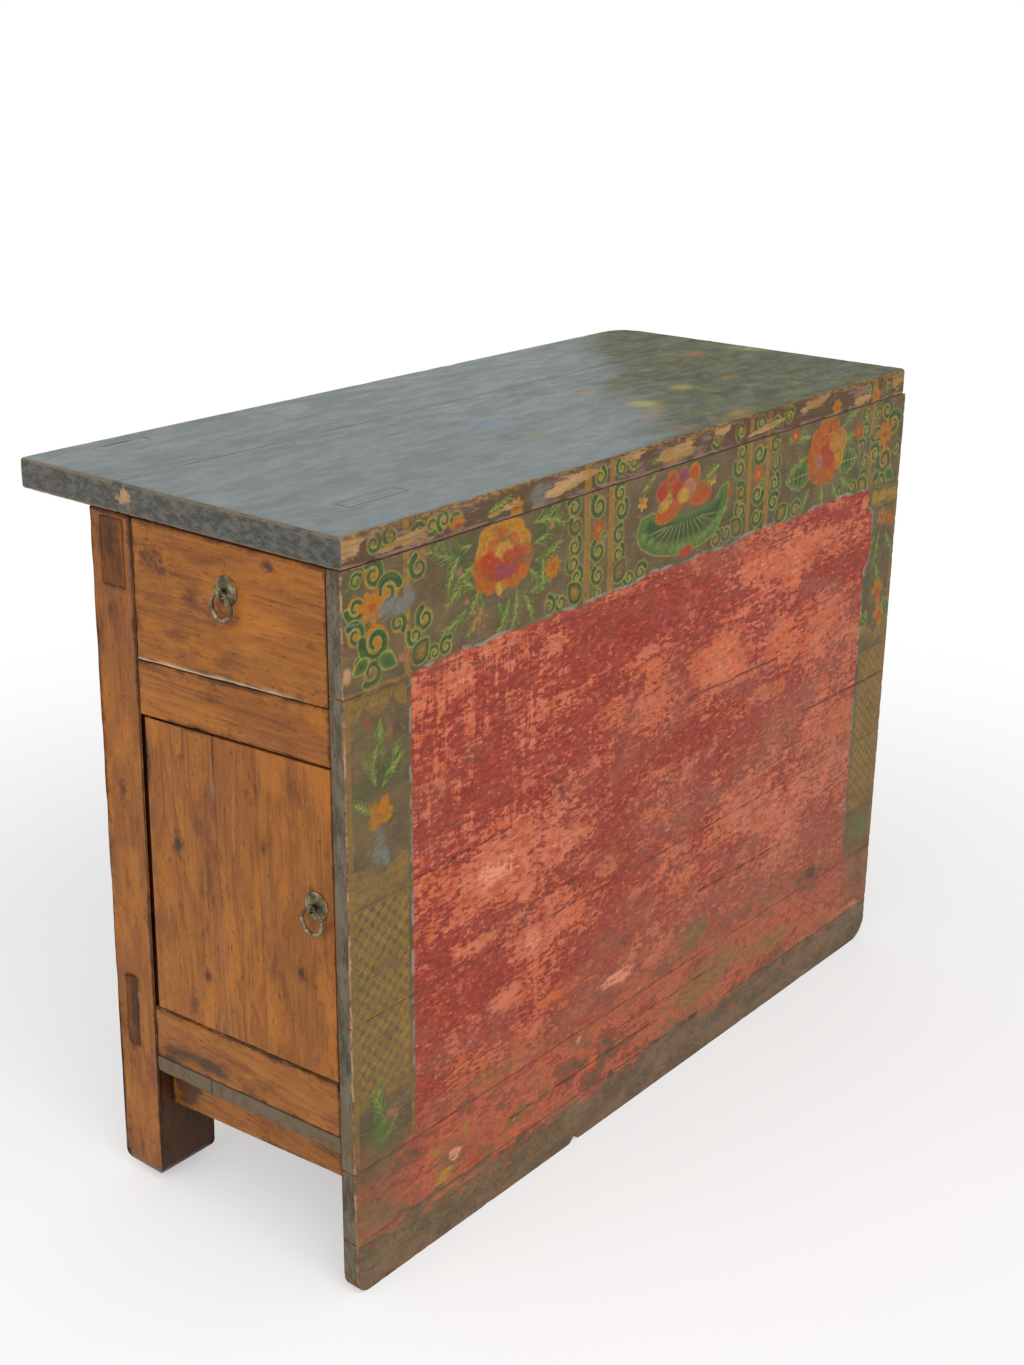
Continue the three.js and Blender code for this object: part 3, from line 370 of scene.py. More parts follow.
class Shade:
    """The nodes of one material or world. A socket takes a number, a colour or a field."""

    def __init__(self, owner):
        owner.use_nodes = True
        self.owner, self.tree = owner, owner.node_tree
        self.tree.nodes.clear()

    def feed(self, socket, value):
        if isinstance(value, Field):
            self.tree.links.new(value.socket, socket)
        elif hasattr(value, "__len__") and len(socket.default_value) == 4 and len(value) == 3:
            socket.default_value = (*value, 1)
        else:
            socket.default_value = value

    def node(self, kind, sockets, *outputs, **settings):
        """Makes a node and returns the fields of the outputs named: one by itself, several as a list."""
        made = self.tree.nodes.new("ShaderNode" + kind)
        for name, value in settings.items():
            setattr(made, name, value)
        for name, value in sockets.items():
            self.feed(made.inputs[name], value)
        fields = [Field(self, made.outputs[name]) for name in outputs]
        return fields[0] if len(fields) == 1 else fields

    def here(self):
        return self.node("TexCoord", {}, "Object")

    def kept(self, name, output="Fac"):
        return self.node("Attribute", {}, output, attribute_name=name)

    def kept_zones(self):
        return self.node("SeparateColor", {"Color": self.kept("zones", "Color")}, "Red", "Green", "Blue")

    def stretch(self, vector, sizes):
        return self.node("VectorMath", {0: vector, 1: sizes}, "Vector", operation="MULTIPLY")

    def drawn(self, vector, share):
        """Coordinates at which a noise comes out long along the first axis."""
        return self.stretch(vector, (share, 1, 1))

    def shift(self, vector, sizes):
        return self.node("VectorMath", {0: vector, 1: sizes}, "Vector", operation="ADD")

    def noise(self, vector, scale, detail=4.0, roughness=0.55, distortion=0.0):
        sockets = {"Vector": vector, "Scale": scale, "Detail": detail, "Roughness": roughness}
        return self.node("TexNoise", {**sockets, "Distortion": distortion}, "Fac")

    def maths(self, operation, first, second=0.0):
        return self.node("Math", {0: first, 1: second}, "Value", operation=operation)

    def rise(self, value, low, high, to_low=0.0, to_high=1.0):
        sockets = {"Value": value, "From Min": low, "From Max": high, "To Min": to_low, "To Max": to_high}
        return self.node("MapRange", sockets, "Result", interpolation_type="SMOOTHSTEP")

    def mix(self, share, first, second, blend="MIX"):
        return self.node("Mix", {0: share, 6: first, 7: second}, 2, data_type="RGBA", blend_type=blend)

    def over(self, base, colour, field, low, high, most=1.0):
        """Lays a colour over the base where a field rises from low to high."""
        return self.mix(self.rise(field, low, high, 0, most), base, colour)

    def ramp(self, value, *stops):
        band = self.node("ValToRGB", {"Fac": value}, "Color")
        elements = band.socket.node.color_ramp.elements
        while len(elements) < len(stops):
            elements.new(0.5)
        for element, (place, colour) in zip(elements, stops):
            element.position = place
            element.color = (*colour, 1)
        return band

    def grade(self, value, *stops):
        """A ramp of plain numbers."""
        return self.ramp(value, *((place, (level,) * 3) for place, level in stops))

    def vary(self, colour, field, *stops):
        """Makes a colour darker and lighter by a field."""
        return self.mix(1.0, colour, self.grade(field, *stops), "MULTIPLY")

    def bump(self, height, distance, strength=1.0, under=None):
        sockets = {"Height": height, "Distance": distance, "Strength": strength}
        if under:
            sockets["Normal"] = under
        return self.node("Bump", sockets, "Normal")

    def seen(self):
        """1 where the camera or a reflection sees the surface itself."""
        return self.maths("MAXIMUM", *self.node("LightPath", {}, "Is Camera Ray", "Is Glossy Ray"))

    def finish(self, colour, roughness, normal, gloss=0.22, **plain):
        sockets = {"Base Color": colour, "Roughness": roughness, "Normal": normal, "Specular IOR Level": gloss}
        surface = self.node("BsdfPrincipled", {**sockets, **plain}, "BSDF")
        self.node("OutputMaterial", {"Surface": surface})
        return self.owner


def material_shade(name):
    return Shade(bpy.data.materials.new(name))


def grain_of_axis(shade, axis):
    """The grain's coordinates for a node that keeps its own mesh: along its length, then across it."""
    parts = dict(zip("XYZ", shade.node("SeparateXYZ", {"Vector": shade.here()}, *"XYZ")))
    order = ("XYZ", "YXZ", "ZXY")[axis]
    return shade.node("CombineXYZ", {name: parts[letter] for name, letter in zip("XYZ", order)}, "Vector")


def wood_layers(shade, grain, light, middle, dark, ring_scale=9.0):
    """Growth rings, fibres, pores and slow changes of tone. Returns colour, height and tone."""
    slow = shade.noise(shade.drawn(grain, 0.3), 9, 5, 0.65)
    field = shade.noise(shade.drawn(grain, 0.09), ring_scale, 2, 0.45, 0.3)
    bands = shade.maths("FRACT", field * 17.0)
    fibre = shade.noise(shade.drawn(grain, 0.03), 560, 4, 0.75)
    streak = shade.noise(shade.drawn(grain, 0.022), 190, 8, 0.8)
    ringed = shade.mix(shade.grade(bands, (0, 0.0), (0.55, 0.3), (0.9, 1.0), (1, 0.05)), light, middle)
    toned = shade.over(ringed, middle, slow, 0.4, 0.6, 0.85)
    streaked = shade.over(toned, dark, streak, 0.53, 0.64, 0.75)
    shaded = shade.vary(streaked, fibre, (0.3, 0.7), (0.7, 1.15))
    height = fibre * 0.6 + bands * -0.2
    return shaded, height, slow


# Colours that no setting holds: handled wood gone pale, and a painted highlight along the drawer front's lower
# arris
PALE_SMEAR, EDGE_HIGHLIGHT = (0.19, 0.155, 0.1), (0.5, 0.4, 0.28)


def old_wood(name, tones, grime_and_shade, stain, glow, end_wood, axis=None, shine=0.4, ring_scale=9.0):
    """Old oiled or raw wood. With no axis it reads the grain kept in a worn copy's points."""
    shade = material_shade(name)
    grain = shade.kept("grain", "Vector") if axis is None else grain_of_axis(shade, axis)
    colour, height, _ = wood_layers(shade, grain, *tones, ring_scale)
    here = shade.here()
    # Oil gone golden in places, and plum brown stains soaked in along the grain
    golden = shade.noise(shade.shift(shade.drawn(grain, 0.4), (3, 1, 2)), 13, 8, 0.72)
    colour = shade.over(colour, glow, golden, 0.48, 0.62, 0.65)
    stained = shade.noise(shade.shift(shade.drawn(grain, 0.38), (7, 4, 1)), 19, 9, 0.76)
    colour = shade.over(colour, stain, stained, 0.51, 0.64, 0.72)
    mottle = shade.noise(shade.drawn(grain, 0.3), 75, 8, 0.78)
    colour = shade.vary(colour, mottle, (0.34, 0.82), (0.66, 1.12))
    knot = shade.kept("knot")
    burl = shade.noise(grain, 95, 6, 0.7, 0.6)
    colour = shade.mix(shade.rise(knot, 0.05, 0.4) * shade.rise(burl, 0.48, 0.58, 0, 0.85), colour, stain)
    colour = shade.mix(shade.rise(knot, 0.42, 0.78) * 0.6, colour, grime_and_shade)
    cloud = shade.noise(here, 30, 8, 0.74)
    dirt = shade.rise(cloud + shade.kept("arris") * 0.2, 0.58, 0.76)
    colour = shade.mix(dirt * 0.72, colour, grime_and_shade)
    colour = shade.over(colour, grime_and_shade, shade.noise(shade.drawn(grain, 0.2), 400, 4, 0.65), 0.6, 0.69, 0.8)
    # End grain: dark and open, with pale fibres
    open_grain = shade.noise(shade.stretch(here, (1, 1, 0.25)), 160, 8, 0.8)
    end_tone = shade.over(grime_and_shade, end_wood[1], open_grain, 0.34, 0.5)
    end_tone = shade.over(end_tone, end_wood[0], open_grain, 0.5, 0.64, 0.8)
    colour = shade.mix(shade.kept("end_grain") * 0.9, colour, end_tone)
    # Stains that hands, feet and iron have left in known places, painted shade on the legs' inner faces, and
    # pale smears
    soot_and_shade_share = shade.rise(shade.kept("soot") + mottle * 1.1, 0.75, 1.05)
    colour = shade.mix(soot_and_shade_share * 0.85, colour, grime_and_shade)
    hazy = shade.rise(shade.kept("haze") + mottle * 0.9, 0.75, 1.0)
    colour = shade.mix(hazy * 0.6, colour, PALE_SMEAR)
    # A painted highlight along the drawer front's lower edge
    colour = shade.mix(shade.kept("raw_line"), colour, EDGE_HIGHLIGHT)
    rough = shade.rise(cloud, 0.3, 0.8, shine - 0.1, shine + 0.18) + dirt * 0.12
    normal = shade.bump(height, 0.0012, 0.35)
    normal = shade.bump(cloud + burl * knot, 0.002, 0.25, normal)
    return shade.finish(colour, rough, normal, 0.18)


def painted_front_look(front, wood):
    """Old tempera and lacquer: a rubbed red field in a dark painted border, both worn to bare wood."""
    shade = material_shade("painted front")
    here = shade.here()
    wide = shade.drawn(here, 0.5)
    red_zone, line_zone, band_zone = shade.kept_zones()
    foot = shade.kept("zones", "Alpha")
    ornament, cover = shade.kept("ornament", "Color"), shade.kept("ornament", "Alpha")
    arris, flaked = shade.kept("arris"), shade.kept("flaked")

    # Rubbing at three sizes, so that each patch has a ragged, speckled edge
    blotch = shade.noise(shade.drawn(here, 0.7), 8, 5, 0.62, 0.2)
    small = shade.noise(shade.drawn(here, 0.7), 34, 8, 0.76, 0.15)
    fleck = shade.noise(shade.drawn(here, 0.4), 230, 5, 0.7)
    scrape = shade.noise(shade.drawn(here, 0.07), 140, 6, 0.75)
    comb = shade.noise(shade.stretch(here, (1, 1, 0.1)), 120, 5, 0.7)
    amount = blotch * 0.75 + small * 0.5 + fleck * 0.62 + (scrape - 0.5) * 0.42 + 0.15
    amount = amount + (comb - 0.5) * shade.kept("combed") + shade.kept("rubbed")
    red = shade.over(front.red_deep, front.red, fleck, 0.44, 0.56)
    rubbed = shade.over(front.salmon_dark, front.salmon, shade.noise(wide, 75, 8, 0.75), 0.42, 0.56)
    warm = shade.rise(shade.noise(wide, 6, 6, 0.65), 0.46, 0.62)
    rubbed = shade.mix(warm * 0.75, rubbed, front.orange)
    red = shade.over(red, rubbed, amount, 1.07, 1.15)
    red = shade.over(red, front.salmon_pale, amount, 1.29, 1.37)
    red = shade.over(red, front.red_deep, scrape, 0.62, 0.72, 0.35)
    dusty = shade.rise(shade.noise(shade.shift(wide, (1, 0, 5)), 12, 8, 0.72) + shade.kept("dusty"), 0.5, 0.7)
    red = shade.mix(dusty * 0.38, red, front.dust)
    pits = shade.noise(shade.shift(wide, (0, 0, 3)), 170, 6, 0.8)
    red = shade.over(red, front.umber, pits, 0.56, 0.63, 0.8)
    red = shade.over(red, front.salmon_pale, pits, 0.43, 0.36, 0.6)
    blotted = shade.noise(shade.shift(wide, (4, 1, 0)), 24, 9, 0.78)
    red = shade.over(red, front.umber, blotted, 0.58, 0.66, 0.55)
    red = shade.over(red, front.salmon, blotted, 0.44, 0.38, 0.6)

    ground = shade.over(front.ground, front.ground_dark, shade.noise(here, 22, 6, 0.65), 0.35, 0.68)
    ground = shade.over(ground, front.umber, scrape, 0.5, 0.7, 0.5)
    ground = shade.over(ground, front.speck, fleck, 0.56, 0.66, 0.5)
    ground = shade.over(ground, front.leaf_dark, shade.noise(wide, 9, 5, 0.6), 0.5, 0.66, 0.45)
    base = shade.mix(red_zone, ground, red)

    away = shade.rise(shade.noise(wide, 60, 8, 0.8), 0.5, 0.62, 0.06, 0.72)
    shown = cover * (1.0 - away)
    brushed = shade.vary(ornament, shade.noise(here, 190, 6, 0.75), (0.3, 0.62), (0.7, 1.22))
    base = shade.mix(shown, base, brushed)
    base = shade.mix(line_zone * shade.rise(small, 0.38, 0.54, 0.2, 0.9), base, front.pale_line)

    mixed = shade.ramp(
        shade.noise(wide, 24, 10, 0.84, 0.2),
        (0.38, front.umber), (0.43, front.ground), (0.455, front.red_deep), (0.475, front.salmon_dark),
        (0.488, front.red_deep), (0.503, front.salmon), (0.518, front.dust), (0.53, front.orange),
        (0.545, front.red_deep), (0.565, front.ochre_wear), (0.6, front.umber), (0.65, front.salmon_pale),
    )
    share = shade.rise(shade.noise(shade.shift(wide, (2, 0, 0)), 20, 8, 0.74), 0.4, 0.52, 0.45, 1.0)
    base = shade.mix(band_zone * share, base, mixed)
    ochre = shade.rise(shade.kept("ochre") + small * 0.8, 0.62, 0.9)
    base = shade.mix(ochre * 0.75, base, shade.over(front.ochre_wear, front.ground, fleck, 0.4, 0.6))
    torn_edge = shade.noise(shade.drawn(here, 0.35), 75, 9, 0.8)
    laid = shade.kept("smudge", "Alpha") * 0.6 + torn_edge * 2.2
    base = shade.over(base, shade.kept("smudge", "Color"), laid, 1.6, 1.76, 0.85)
    wood_colour, wood_height, _ = wood_layers(shade, here, wood.raw_light, wood.raw_middle, wood.raw_dark, 16)
    torn = shade.noise(shade.drawn(here, 0.3), 38, 9, 0.8) * 2.6
    scrubbed = shade.rise(foot + torn, 1.72, 1.92, 0, 0.93)
    rubbed_foot = shade.over(front.foot_wood, front.foot_dark, shade.noise(wide, 30, 9, 0.8), 0.42, 0.56)
    rubbed_foot = shade.mix(shown * 0.7, rubbed_foot, ornament)
    rubbed_foot = shade.over(rubbed_foot, front.umber, torn_edge, 0.57, 0.64, 0.75)
    rubbed_foot = shade.over(rubbed_foot, front.salmon_dark, torn_edge, 0.41, 0.36, 0.7)
    rubbed_foot = shade.over(rubbed_foot, front.crack, pits, 0.56, 0.64, 0.8)
    base = shade.mix(scrubbed, base, shade.mix(0.85, wood_colour, rubbed_foot))

    chip = arris * 0.24 + flaked * 0.5
    chip = shade.rise(chip + shade.noise(shade.drawn(here, 0.3), 95, 6, 0.74), 0.78, 0.84)
    base = shade.mix(chip * 0.9, base, shade.over(front.bare_wood, wood_colour, small, 0.4, 0.6))
    base = shade.over(base, front.umber, shade.noise(wide, 85, 7, 0.8), 0.58, 0.7, 0.7)
    seam = shade.rise(arris, 0.5, 0.9, 0, 0.45) * shade.rise(small, 0.4, 0.6, 0.2, 1)
    base = shade.mix(seam, base, front.crack)
    base = shade.mix(shade.kept("crack"), base, front.crack)

    rough = shade.rise(small, 0.3, 0.7, 0.42, 0.72)
    normal = shade.bump(scrape * 0.6 + fleck, 0.0012, 0.22)
    normal = shade.bump(chip + wood_height * chip, -0.0007, 0.5, normal)
    return shade.finish(base, rough, normal)


def front_edge_look(front):
    """The painted front's end: old grey-green paint with pale specks along its arris."""
    shade = material_shade("painted front's end")
    here = shade.here()
    tall = shade.stretch(here, (1, 1, 0.35))
    cloud = shade.noise(tall, 60, 9, 0.8)
    colour = shade.over(front.end_paint, front.end_paint_dark, cloud, 0.4, 0.58)
    brown = shade.rise(shade.noise(tall, 14, 8, 0.75), 0.5, 0.62, 0, 0.8)
    colour = shade.mix(brown, colour, front.foot_wood)
    specks = shade.noise(here, 420, 5, 0.8)
    colour = shade.over(colour, front.speck, specks, 0.58, 0.64, 0.85)
    colour = shade.over(colour, front.umber, specks, 0.42, 0.36, 0.8)
    normal = shade.bump(specks + shade.noise(tall, 180, 6, 0.75), 0.002, 0.6)
    return shade.finish(colour, shade.rise(cloud, 0.3, 0.7, 0.6, 0.85), normal, 0.12)


def plank_look(top, front):
    """Blue-grey lacquer worn olive towards the far end, with bare arrises."""
    shade = material_shade("plank top")
    here = shade.here()
    wide = shade.drawn(here, 0.3)
    arris = shade.kept("arris")
    olive_zone, edge_zone, end_zone = shade.kept_zones()
    ornament, cover = shade.kept("ornament", "Color"), shade.kept("ornament", "Alpha")
    cloud = shade.noise(wide, 8, 7, 0.62)
    fine = shade.noise(wide, 60, 7, 0.7)
    base = shade.over(top.blue_grey, top.blue_grey_dark, cloud, 0.35, 0.66)
    streak = shade.noise(shade.drawn(here, 0.04), 110, 8, 0.8)
    base = shade.over(base, top.streak, streak, 0.5, 0.64, 0.45)
    rubbed = shade.noise(shade.drawn(here, 0.4), 240, 6, 0.8)
    base = shade.vary(base, rubbed, (0.32, 0.86), (0.68, 1.12))
    olive = shade.over(top.olive, top.olive_dark, shade.noise(here, 26, 8, 0.74), 0.42, 0.58)
    olive = shade.vary(olive, shade.noise(here, 95, 9, 0.82), (0.36, 0.55), (0.64, 1.45))
    olive = shade.over(olive, front.gold, shade.noise(wide, 30, 8, 0.78), 0.6, 0.68, 0.6)
    spread = olive_zone + shade.noise(wide, 14, 9, 0.72) * 0.9
    base = shade.over(base, olive, spread, 0.72, 1.15)
    base = shade.over(base, top.speck, shade.noise(here, 330, 4, 0.7), 0.64, 0.72, 0.5)
    spots = shade.noise(shade.shift(here, (1, 2, 3)), 90, 5, 0.75)
    base = shade.over(base, top.end_dark, spots, 0.66, 0.72, 0.5)
    dabbed = cover * (1.0 - edge_zone) * shade.rise(fine, 0.4, 0.56, 0.25, 1)
    base = shade.mix(dabbed, base, ornament)

    flaky = shade.over(front.umber, front.ground_dark, fine, 0.38, 0.6)
    torn = shade.noise(shade.drawn(here, 0.22), 60, 8, 0.76)
    worn = shade.rise(shade.kept("bared") + torn * 2.0, 1.33, 1.42)
    flaky = shade.over(flaky, front.rose_grey, torn, 0.52, 0.6, 0.8)
    flaky = shade.over(flaky, front.umber, shade.noise(here, 150, 6, 0.8), 0.56, 0.64, 0.8)
    flaky = shade.mix(cover * shade.rise(fine, 0.38, 0.54, 0.35, 0.9), flaky, ornament)
    bared = shade.over(front.bare_wood, top.bare_edge, fine, 0.36, 0.6)
    bared = shade.over(bared, front.foot_wood, streak, 0.5, 0.62)
    flaky = shade.mix(worn, flaky, bared)
    base = shade.mix(edge_zone, base, flaky)
    sawn = shade.noise(shade.stretch(here, (1, 0.5, 1)), 150, 9, 0.82)
    end_paint = shade.over(top.end_dark, top.end_grey, sawn, 0.43, 0.58)
    end_paint = shade.over(end_paint, top.streak, sawn, 0.6, 0.7, 0.6)
    end_paint = shade.over(end_paint, top.speck, shade.noise(here, 300, 5, 0.8), 0.62, 0.68, 0.6)
    end_torn = shade.noise(here, 110, 8, 0.8) * 1.6
    end_bare = shade.rise(shade.kept("end_bare") + end_torn, 1.08, 1.2, 0, 0.8)
    end_paint = shade.mix(end_bare, end_paint, front.bare_wood)
    end_paint = shade.over(end_paint, front.foot_wood, arris + fine, 1.15, 1.35, 0.7)
    base = shade.mix(end_zone, base, end_paint)
    line = shade.kept("front_side") * shade.rise(torn, 0.42, 0.54, 0.1, 0.9)
    base = shade.mix(line, base, shade.over(top.bare_edge, front.umber, rubbed, 0.42, 0.58))
    bare = shade.noise(shade.drawn(here, 0.25), 80, 6, 0.74)
    bare = shade.rise(bare + arris * 0.06, 0.7, 0.76)
    base = shade.mix(bare, base, shade.over(top.bare_edge, front.bare_wood, fine, 0.4, 0.6))
    base = shade.over(base, top.end_dark, shade.noise(here, 150, 5, 0.8), 0.66, 0.75, 0.7)

    rough = shade.rise(fine, 0.3, 0.7, 0.3, 0.5) + olive_zone * 0.15
    rough = rough + shade.maths("MAXIMUM", edge_zone, bare) * 0.25
    normal = shade.bump(streak * 0.5 + fine, 0.001, 0.22)
    normal = shade.bump(bare + worn * edge_zone, -0.0006, 0.5, normal)
    return shade.finish(base, rough, normal)


def brass_look(metal):
    """Brass gone dull and brown, bright where fingers rub it."""
    shade = material_shade("aged brass")
    here = shade.here()
    cloud = shade.noise(here, 120, 6, 0.7)
    rubbed = shade.rise(shade.noise(here, 55, 4, 0.6), 0.45, 0.62)
    colour = shade.mix(rubbed, metal.tarnish, metal.bright)
    colour = shade.over(colour, metal.crust, cloud, 0.5, 0.66, 0.8)
    rough = shade.rise(cloud, 0.3, 0.7, 0.28, 0.6)
    normal = shade.bump(shade.noise(here, 600, 4, 0.7), 0.0004, 0.35)
    return shade.finish(colour, rough, normal, 0.5, Metallic=0.85)


def floor_look(stage):
    """A pale floor that keeps the shadow near the cabinet and fades to the white background."""
    shade = material_shade("pale floor")
    here = shade.here()
    cloud = shade.noise(here, 3, 3)
    rough = shade.rise(cloud, 0.3, 0.7, 0.85, 0.95)
    pale = {"Base Color": shade.mix(0.02, stage.floor, cloud), "Roughness": rough}
    near = shade.node("BsdfPrincipled", pale, "BSDF")
    white = shade.node("Emission", {"Color": WHITE}, "Emission")
    away = shade.node("VectorMath", {0: here}, "Value", operation="LENGTH")
    share = shade.rise(away, 0.7, 1.9, 0.45, 1) * shade.seen()
    mixed = shade.node("MixShader", {0: share, 1: near, 2: white}, "Shader")
    shade.node("OutputMaterial", {"Surface": mixed})
    return shade.owner


# The painted ornament


class Painting:
    """Colour laid over the points of a flat face, stroke by stroke, with soft brush edges."""

    def __init__(self, across, up, front):
        self.x, self.z = across, up
        self.colour = np.tile(np.array(front.ground[:], float), (len(across), 1))
        self.cover = np.zeros(len(across))
        self.front = front

    def near(self, low_x, high_x, low_z, high_z):
        return np.nonzero((self.x > low_x) & (self.x < high_x) & (self.z > low_z) & (self.z < high_z))[0]

    def within(self, points, margin):
        """The points of the face near a stroke, and where they are."""
        low, high = points.min(0) - margin, points.max(0) + margin
        chosen = self.near(low[0], high[0], low[1], high[1])
        return chosen, np.stack([self.x[chosen], self.z[chosen]], axis=1)

    def layer(self):
        return np.column_stack([self.colour, self.cover])

    def block(self, low_x, high_x, low_z, high_z, colour, strength):
        """A plain rectangle."""
        chosen = self.near(low_x, high_x, low_z, high_z)
        self.lay(chosen, np.full(len(chosen), strength), colour)

    def lay(self, chosen, share, colour):
        share = np.clip(share, 0, 1)
        self.colour[chosen] += share[:, None] * (np.array(colour[:], float) - self.colour[chosen])
        self.cover[chosen] = np.maximum(self.cover[chosen], share)

    def dab(self, x, z, wide, tall, colour, turn=0.0, soft=1.1, strength=1.0):
        """An oval touch of the brush."""
        reach = max(wide, tall) + soft
        chosen = self.near(x - reach, x + reach, z - reach, z + reach)
        if not len(chosen):
            return
        across, up = self.x[chosen] - x, self.z[chosen] - z
        along = across * math.cos(turn) + up * math.sin(turn)
        side = up * math.cos(turn) - across * math.sin(turn)
        inside = (1 - np.hypot(along / wide, side / tall)) * min(wide, tall)
        self.lay(chosen, strength * (0.5 + inside / soft), colour)

    def stroke(self, points, width, colour, end_width=None, soft=0.9, strength=1.0):
        """A brush line through the points, as wide as width, or narrowing to end_width."""
        points = np.asarray(points, float)
        chosen, here = self.within(points, max(width, end_width or 0) / 2 + soft)
        if not len(chosen):
            return
        widths = np.linspace(width, width if end_width is None else end_width, len(points))
        best = np.full(len(chosen), -1e3)
        for start, end, thick, thin in zip(points, points[1:], widths, widths[1:]):
            share, away = along_line(here, start, end)
            best = np.maximum(best, (thick + share * (thin - thick)) / 2 - away)
        self.lay(chosen, strength * (0.5 + best / soft), colour)

    def fill(self, points, colour, soft=1.2, strength=1.0):
        """A closed outline filled in, with a soft edge."""
        points = np.asarray(points, float)
        chosen, here = self.within(points, soft)
        if not len(chosen):
            return
        inside = np.zeros(len(chosen), bool)
        nearest = np.full(len(chosen), 1e3)
        for start, end in zip(points, np.roll(points, -1, axis=0)):
            along = end - start
            nearest = np.minimum(nearest, along_line(here, start, end)[1])
            crossed = (start[1] > here[:, 1]) != (end[1] > here[:, 1])
            inside ^= crossed & (here[:, 0] < start[0] + (here[:, 1] - start[1]) * along[0] / (along[1] or 1))
        self.lay(chosen, strength * (0.5 + np.where(inside, nearest, -nearest) / soft), colour)

    def curl(self, x, z, radius, start, hand, body=None, heart=None):
        """A cloud scroll: a green spiral that thins inwards over an ochre heart, with bright outlines."""
        front = self.front
        spin = np.linspace(0, 2 * PI * 1.2, 36)
        reach = radius * (0.82 - 0.6 * (spin / spin[-1]) ** 0.9)
        turned = np.stack([np.cos(start + hand * spin), np.sin(start + hand * spin)], axis=1)
        path = (x, z) + reach[:, None] * turned
        thick, thin = 0.5 * radius, 0.16 * radius
        self.dab(x, z, 0.8 * radius, 0.8 * radius, heart or front.gold, soft=1.6, strength=0.85)
        self.stroke(path, thick + 2.8, front.outline, thin + 2.0, soft=1.4, strength=0.9)
        self.stroke(path, thick - 0.6, body or front.leaf_dark, max(thin - 0.2, 0.9), soft=1.3)
        ridge = (x, z) + (reach + 0.05 * radius)[:, None] * turned
        self.stroke(ridge[2:22], thick * 0.3, front.leaf, 0.8, soft=1.8, strength=0.55)

    def star(self, x, z, radius, petals, colour, heart):
        """A small flower seen from the front."""
        for turn in np.arange(petals) * 2 * PI / petals + 0.3:
            across, up = 0.55 * radius * math.cos(turn), 0.55 * radius * math.sin(turn)
            self.dab(x + across, z + up, radius * 0.5, radius * 0.3, colour, turn)
        self.dab(x, z, radius * 0.28, radius * 0.28, heart)

    def spray(self, x, z, heading, length, pairs=8, bend=0.25):
        """A feathery stem: paired strokes of bright green over a dark green wash."""
        front = self.front
        angle = heading + bend * np.linspace(0, 1, 9)
        steps = [np.cumsum(part) * length / 9 for part in (np.cos(angle), np.sin(angle))]
        stem = np.stack([x + steps[0], z + steps[1]], axis=1)
        for spot, turn, swell in zip(stem, angle, np.sin(np.linspace(0.7, 2.9, 9))):
            wide, tall = length * 0.14, length * 0.26 * swell
            self.dab(*spot, wide, tall, front.leaf_dark, turn, soft=7, strength=0.5)
        for index in range(pairs):
            place = (index + 0.5) / pairs
            step = min(8, int(place * 9))
            size = length * (0.46 - 0.28 * place)
            green = front.leaf_bright if index % 2 else front.leaf
            for side, (fan, part) in ((side, row) for side in (-1, 1) for row in ((0.45, 1.0), (0.85, 0.7))):
                turn = angle[step] + side * fan
                out, across = np.array([[math.cos(turn), math.sin(turn)], [-math.sin(turn), math.cos(turn)]])
                tip = stem[step] + part * size * out
                leaf = [stem[step], (stem[step] + tip) / 2 - side * 0.08 * size * across, tip]
                self.stroke(leaf, 2.4, green, 1.4, strength=0.8)
                if part == 1.0:
                    self.stroke(leaf, 1.5, front.outline, 1.0, soft=0.8, strength=0.95)
        self.stroke(stem, 1.5, front.outline, strength=0.85)

    def broad_leaf(self, x, z, heading, length, width, veins=5, ruffles=4, body=None, heart=None):
        """A lobed leaf with a bright outline and veins."""
        front = self.front
        along = np.array([math.cos(heading), math.sin(heading)])
        side = np.array([-along[1], along[0]])
        share = np.linspace(0, 1, 19)
        swell = np.sin(PI * share**0.85) ** 0.8 * width / 2 * (1 + 0.1 * np.cos(share * 2 * PI * ruffles))
        spine = np.array([x, z]) + share[:, None] * length * along
        rim = np.concatenate([spine + swell[:, None] * side, (spine - swell[:, None] * side)[::-1]])
        self.fill(rim, body or front.leaf, soft=1.6)
        self.fill(spine.mean(0) + 0.6 * (rim - spine.mean(0)), heart or front.leaf_dark, soft=5, strength=0.7)
        self.stroke(np.vstack([rim, rim[:1]]), 2.0, front.outline, soft=1.5, strength=0.85)
        if veins:
            self.stroke(spine, 1.5, front.outline, strength=0.8)
        for index in range(1, veins + 1):
            place = index / (veins + 1)
            spot = np.array([x, z]) + place * length * along
            half = 0.8 * np.interp(place, share, swell)
            for way in (-1, 1):
                vein = [spot, spot + 0.3 * length / veins * along + way * half * side]
                self.stroke(vein, 1.2, front.outline, 0.8, strength=0.8)

    def petals(self, x, z, lobes):
        """Overlapping lobes, each with a brighter rim and brushed ribs that run out from the middle."""
        for across, up, size, colour, rim in lobes:
            turn = math.atan2(up, across)
            spot = np.array([x + across, z + up])
            out = np.array([math.cos(turn), math.sin(turn)])
            self.dab(*spot, size, size * 1.06, rim, turn, soft=2.6, strength=0.8)
            self.dab(*(spot - 0.14 * size * out), size * 0.96, size * 0.94, colour, turn, soft=5)
            for way in (-0.9, -0.45, 0.0, 0.45, 0.9):
                tip = spot + 0.75 * size * np.array([math.cos(turn + way), math.sin(turn + way)])
                self.stroke([spot - 0.5 * size * out, tip], 2.6, rim, 0.8, soft=2.6, strength=0.45)

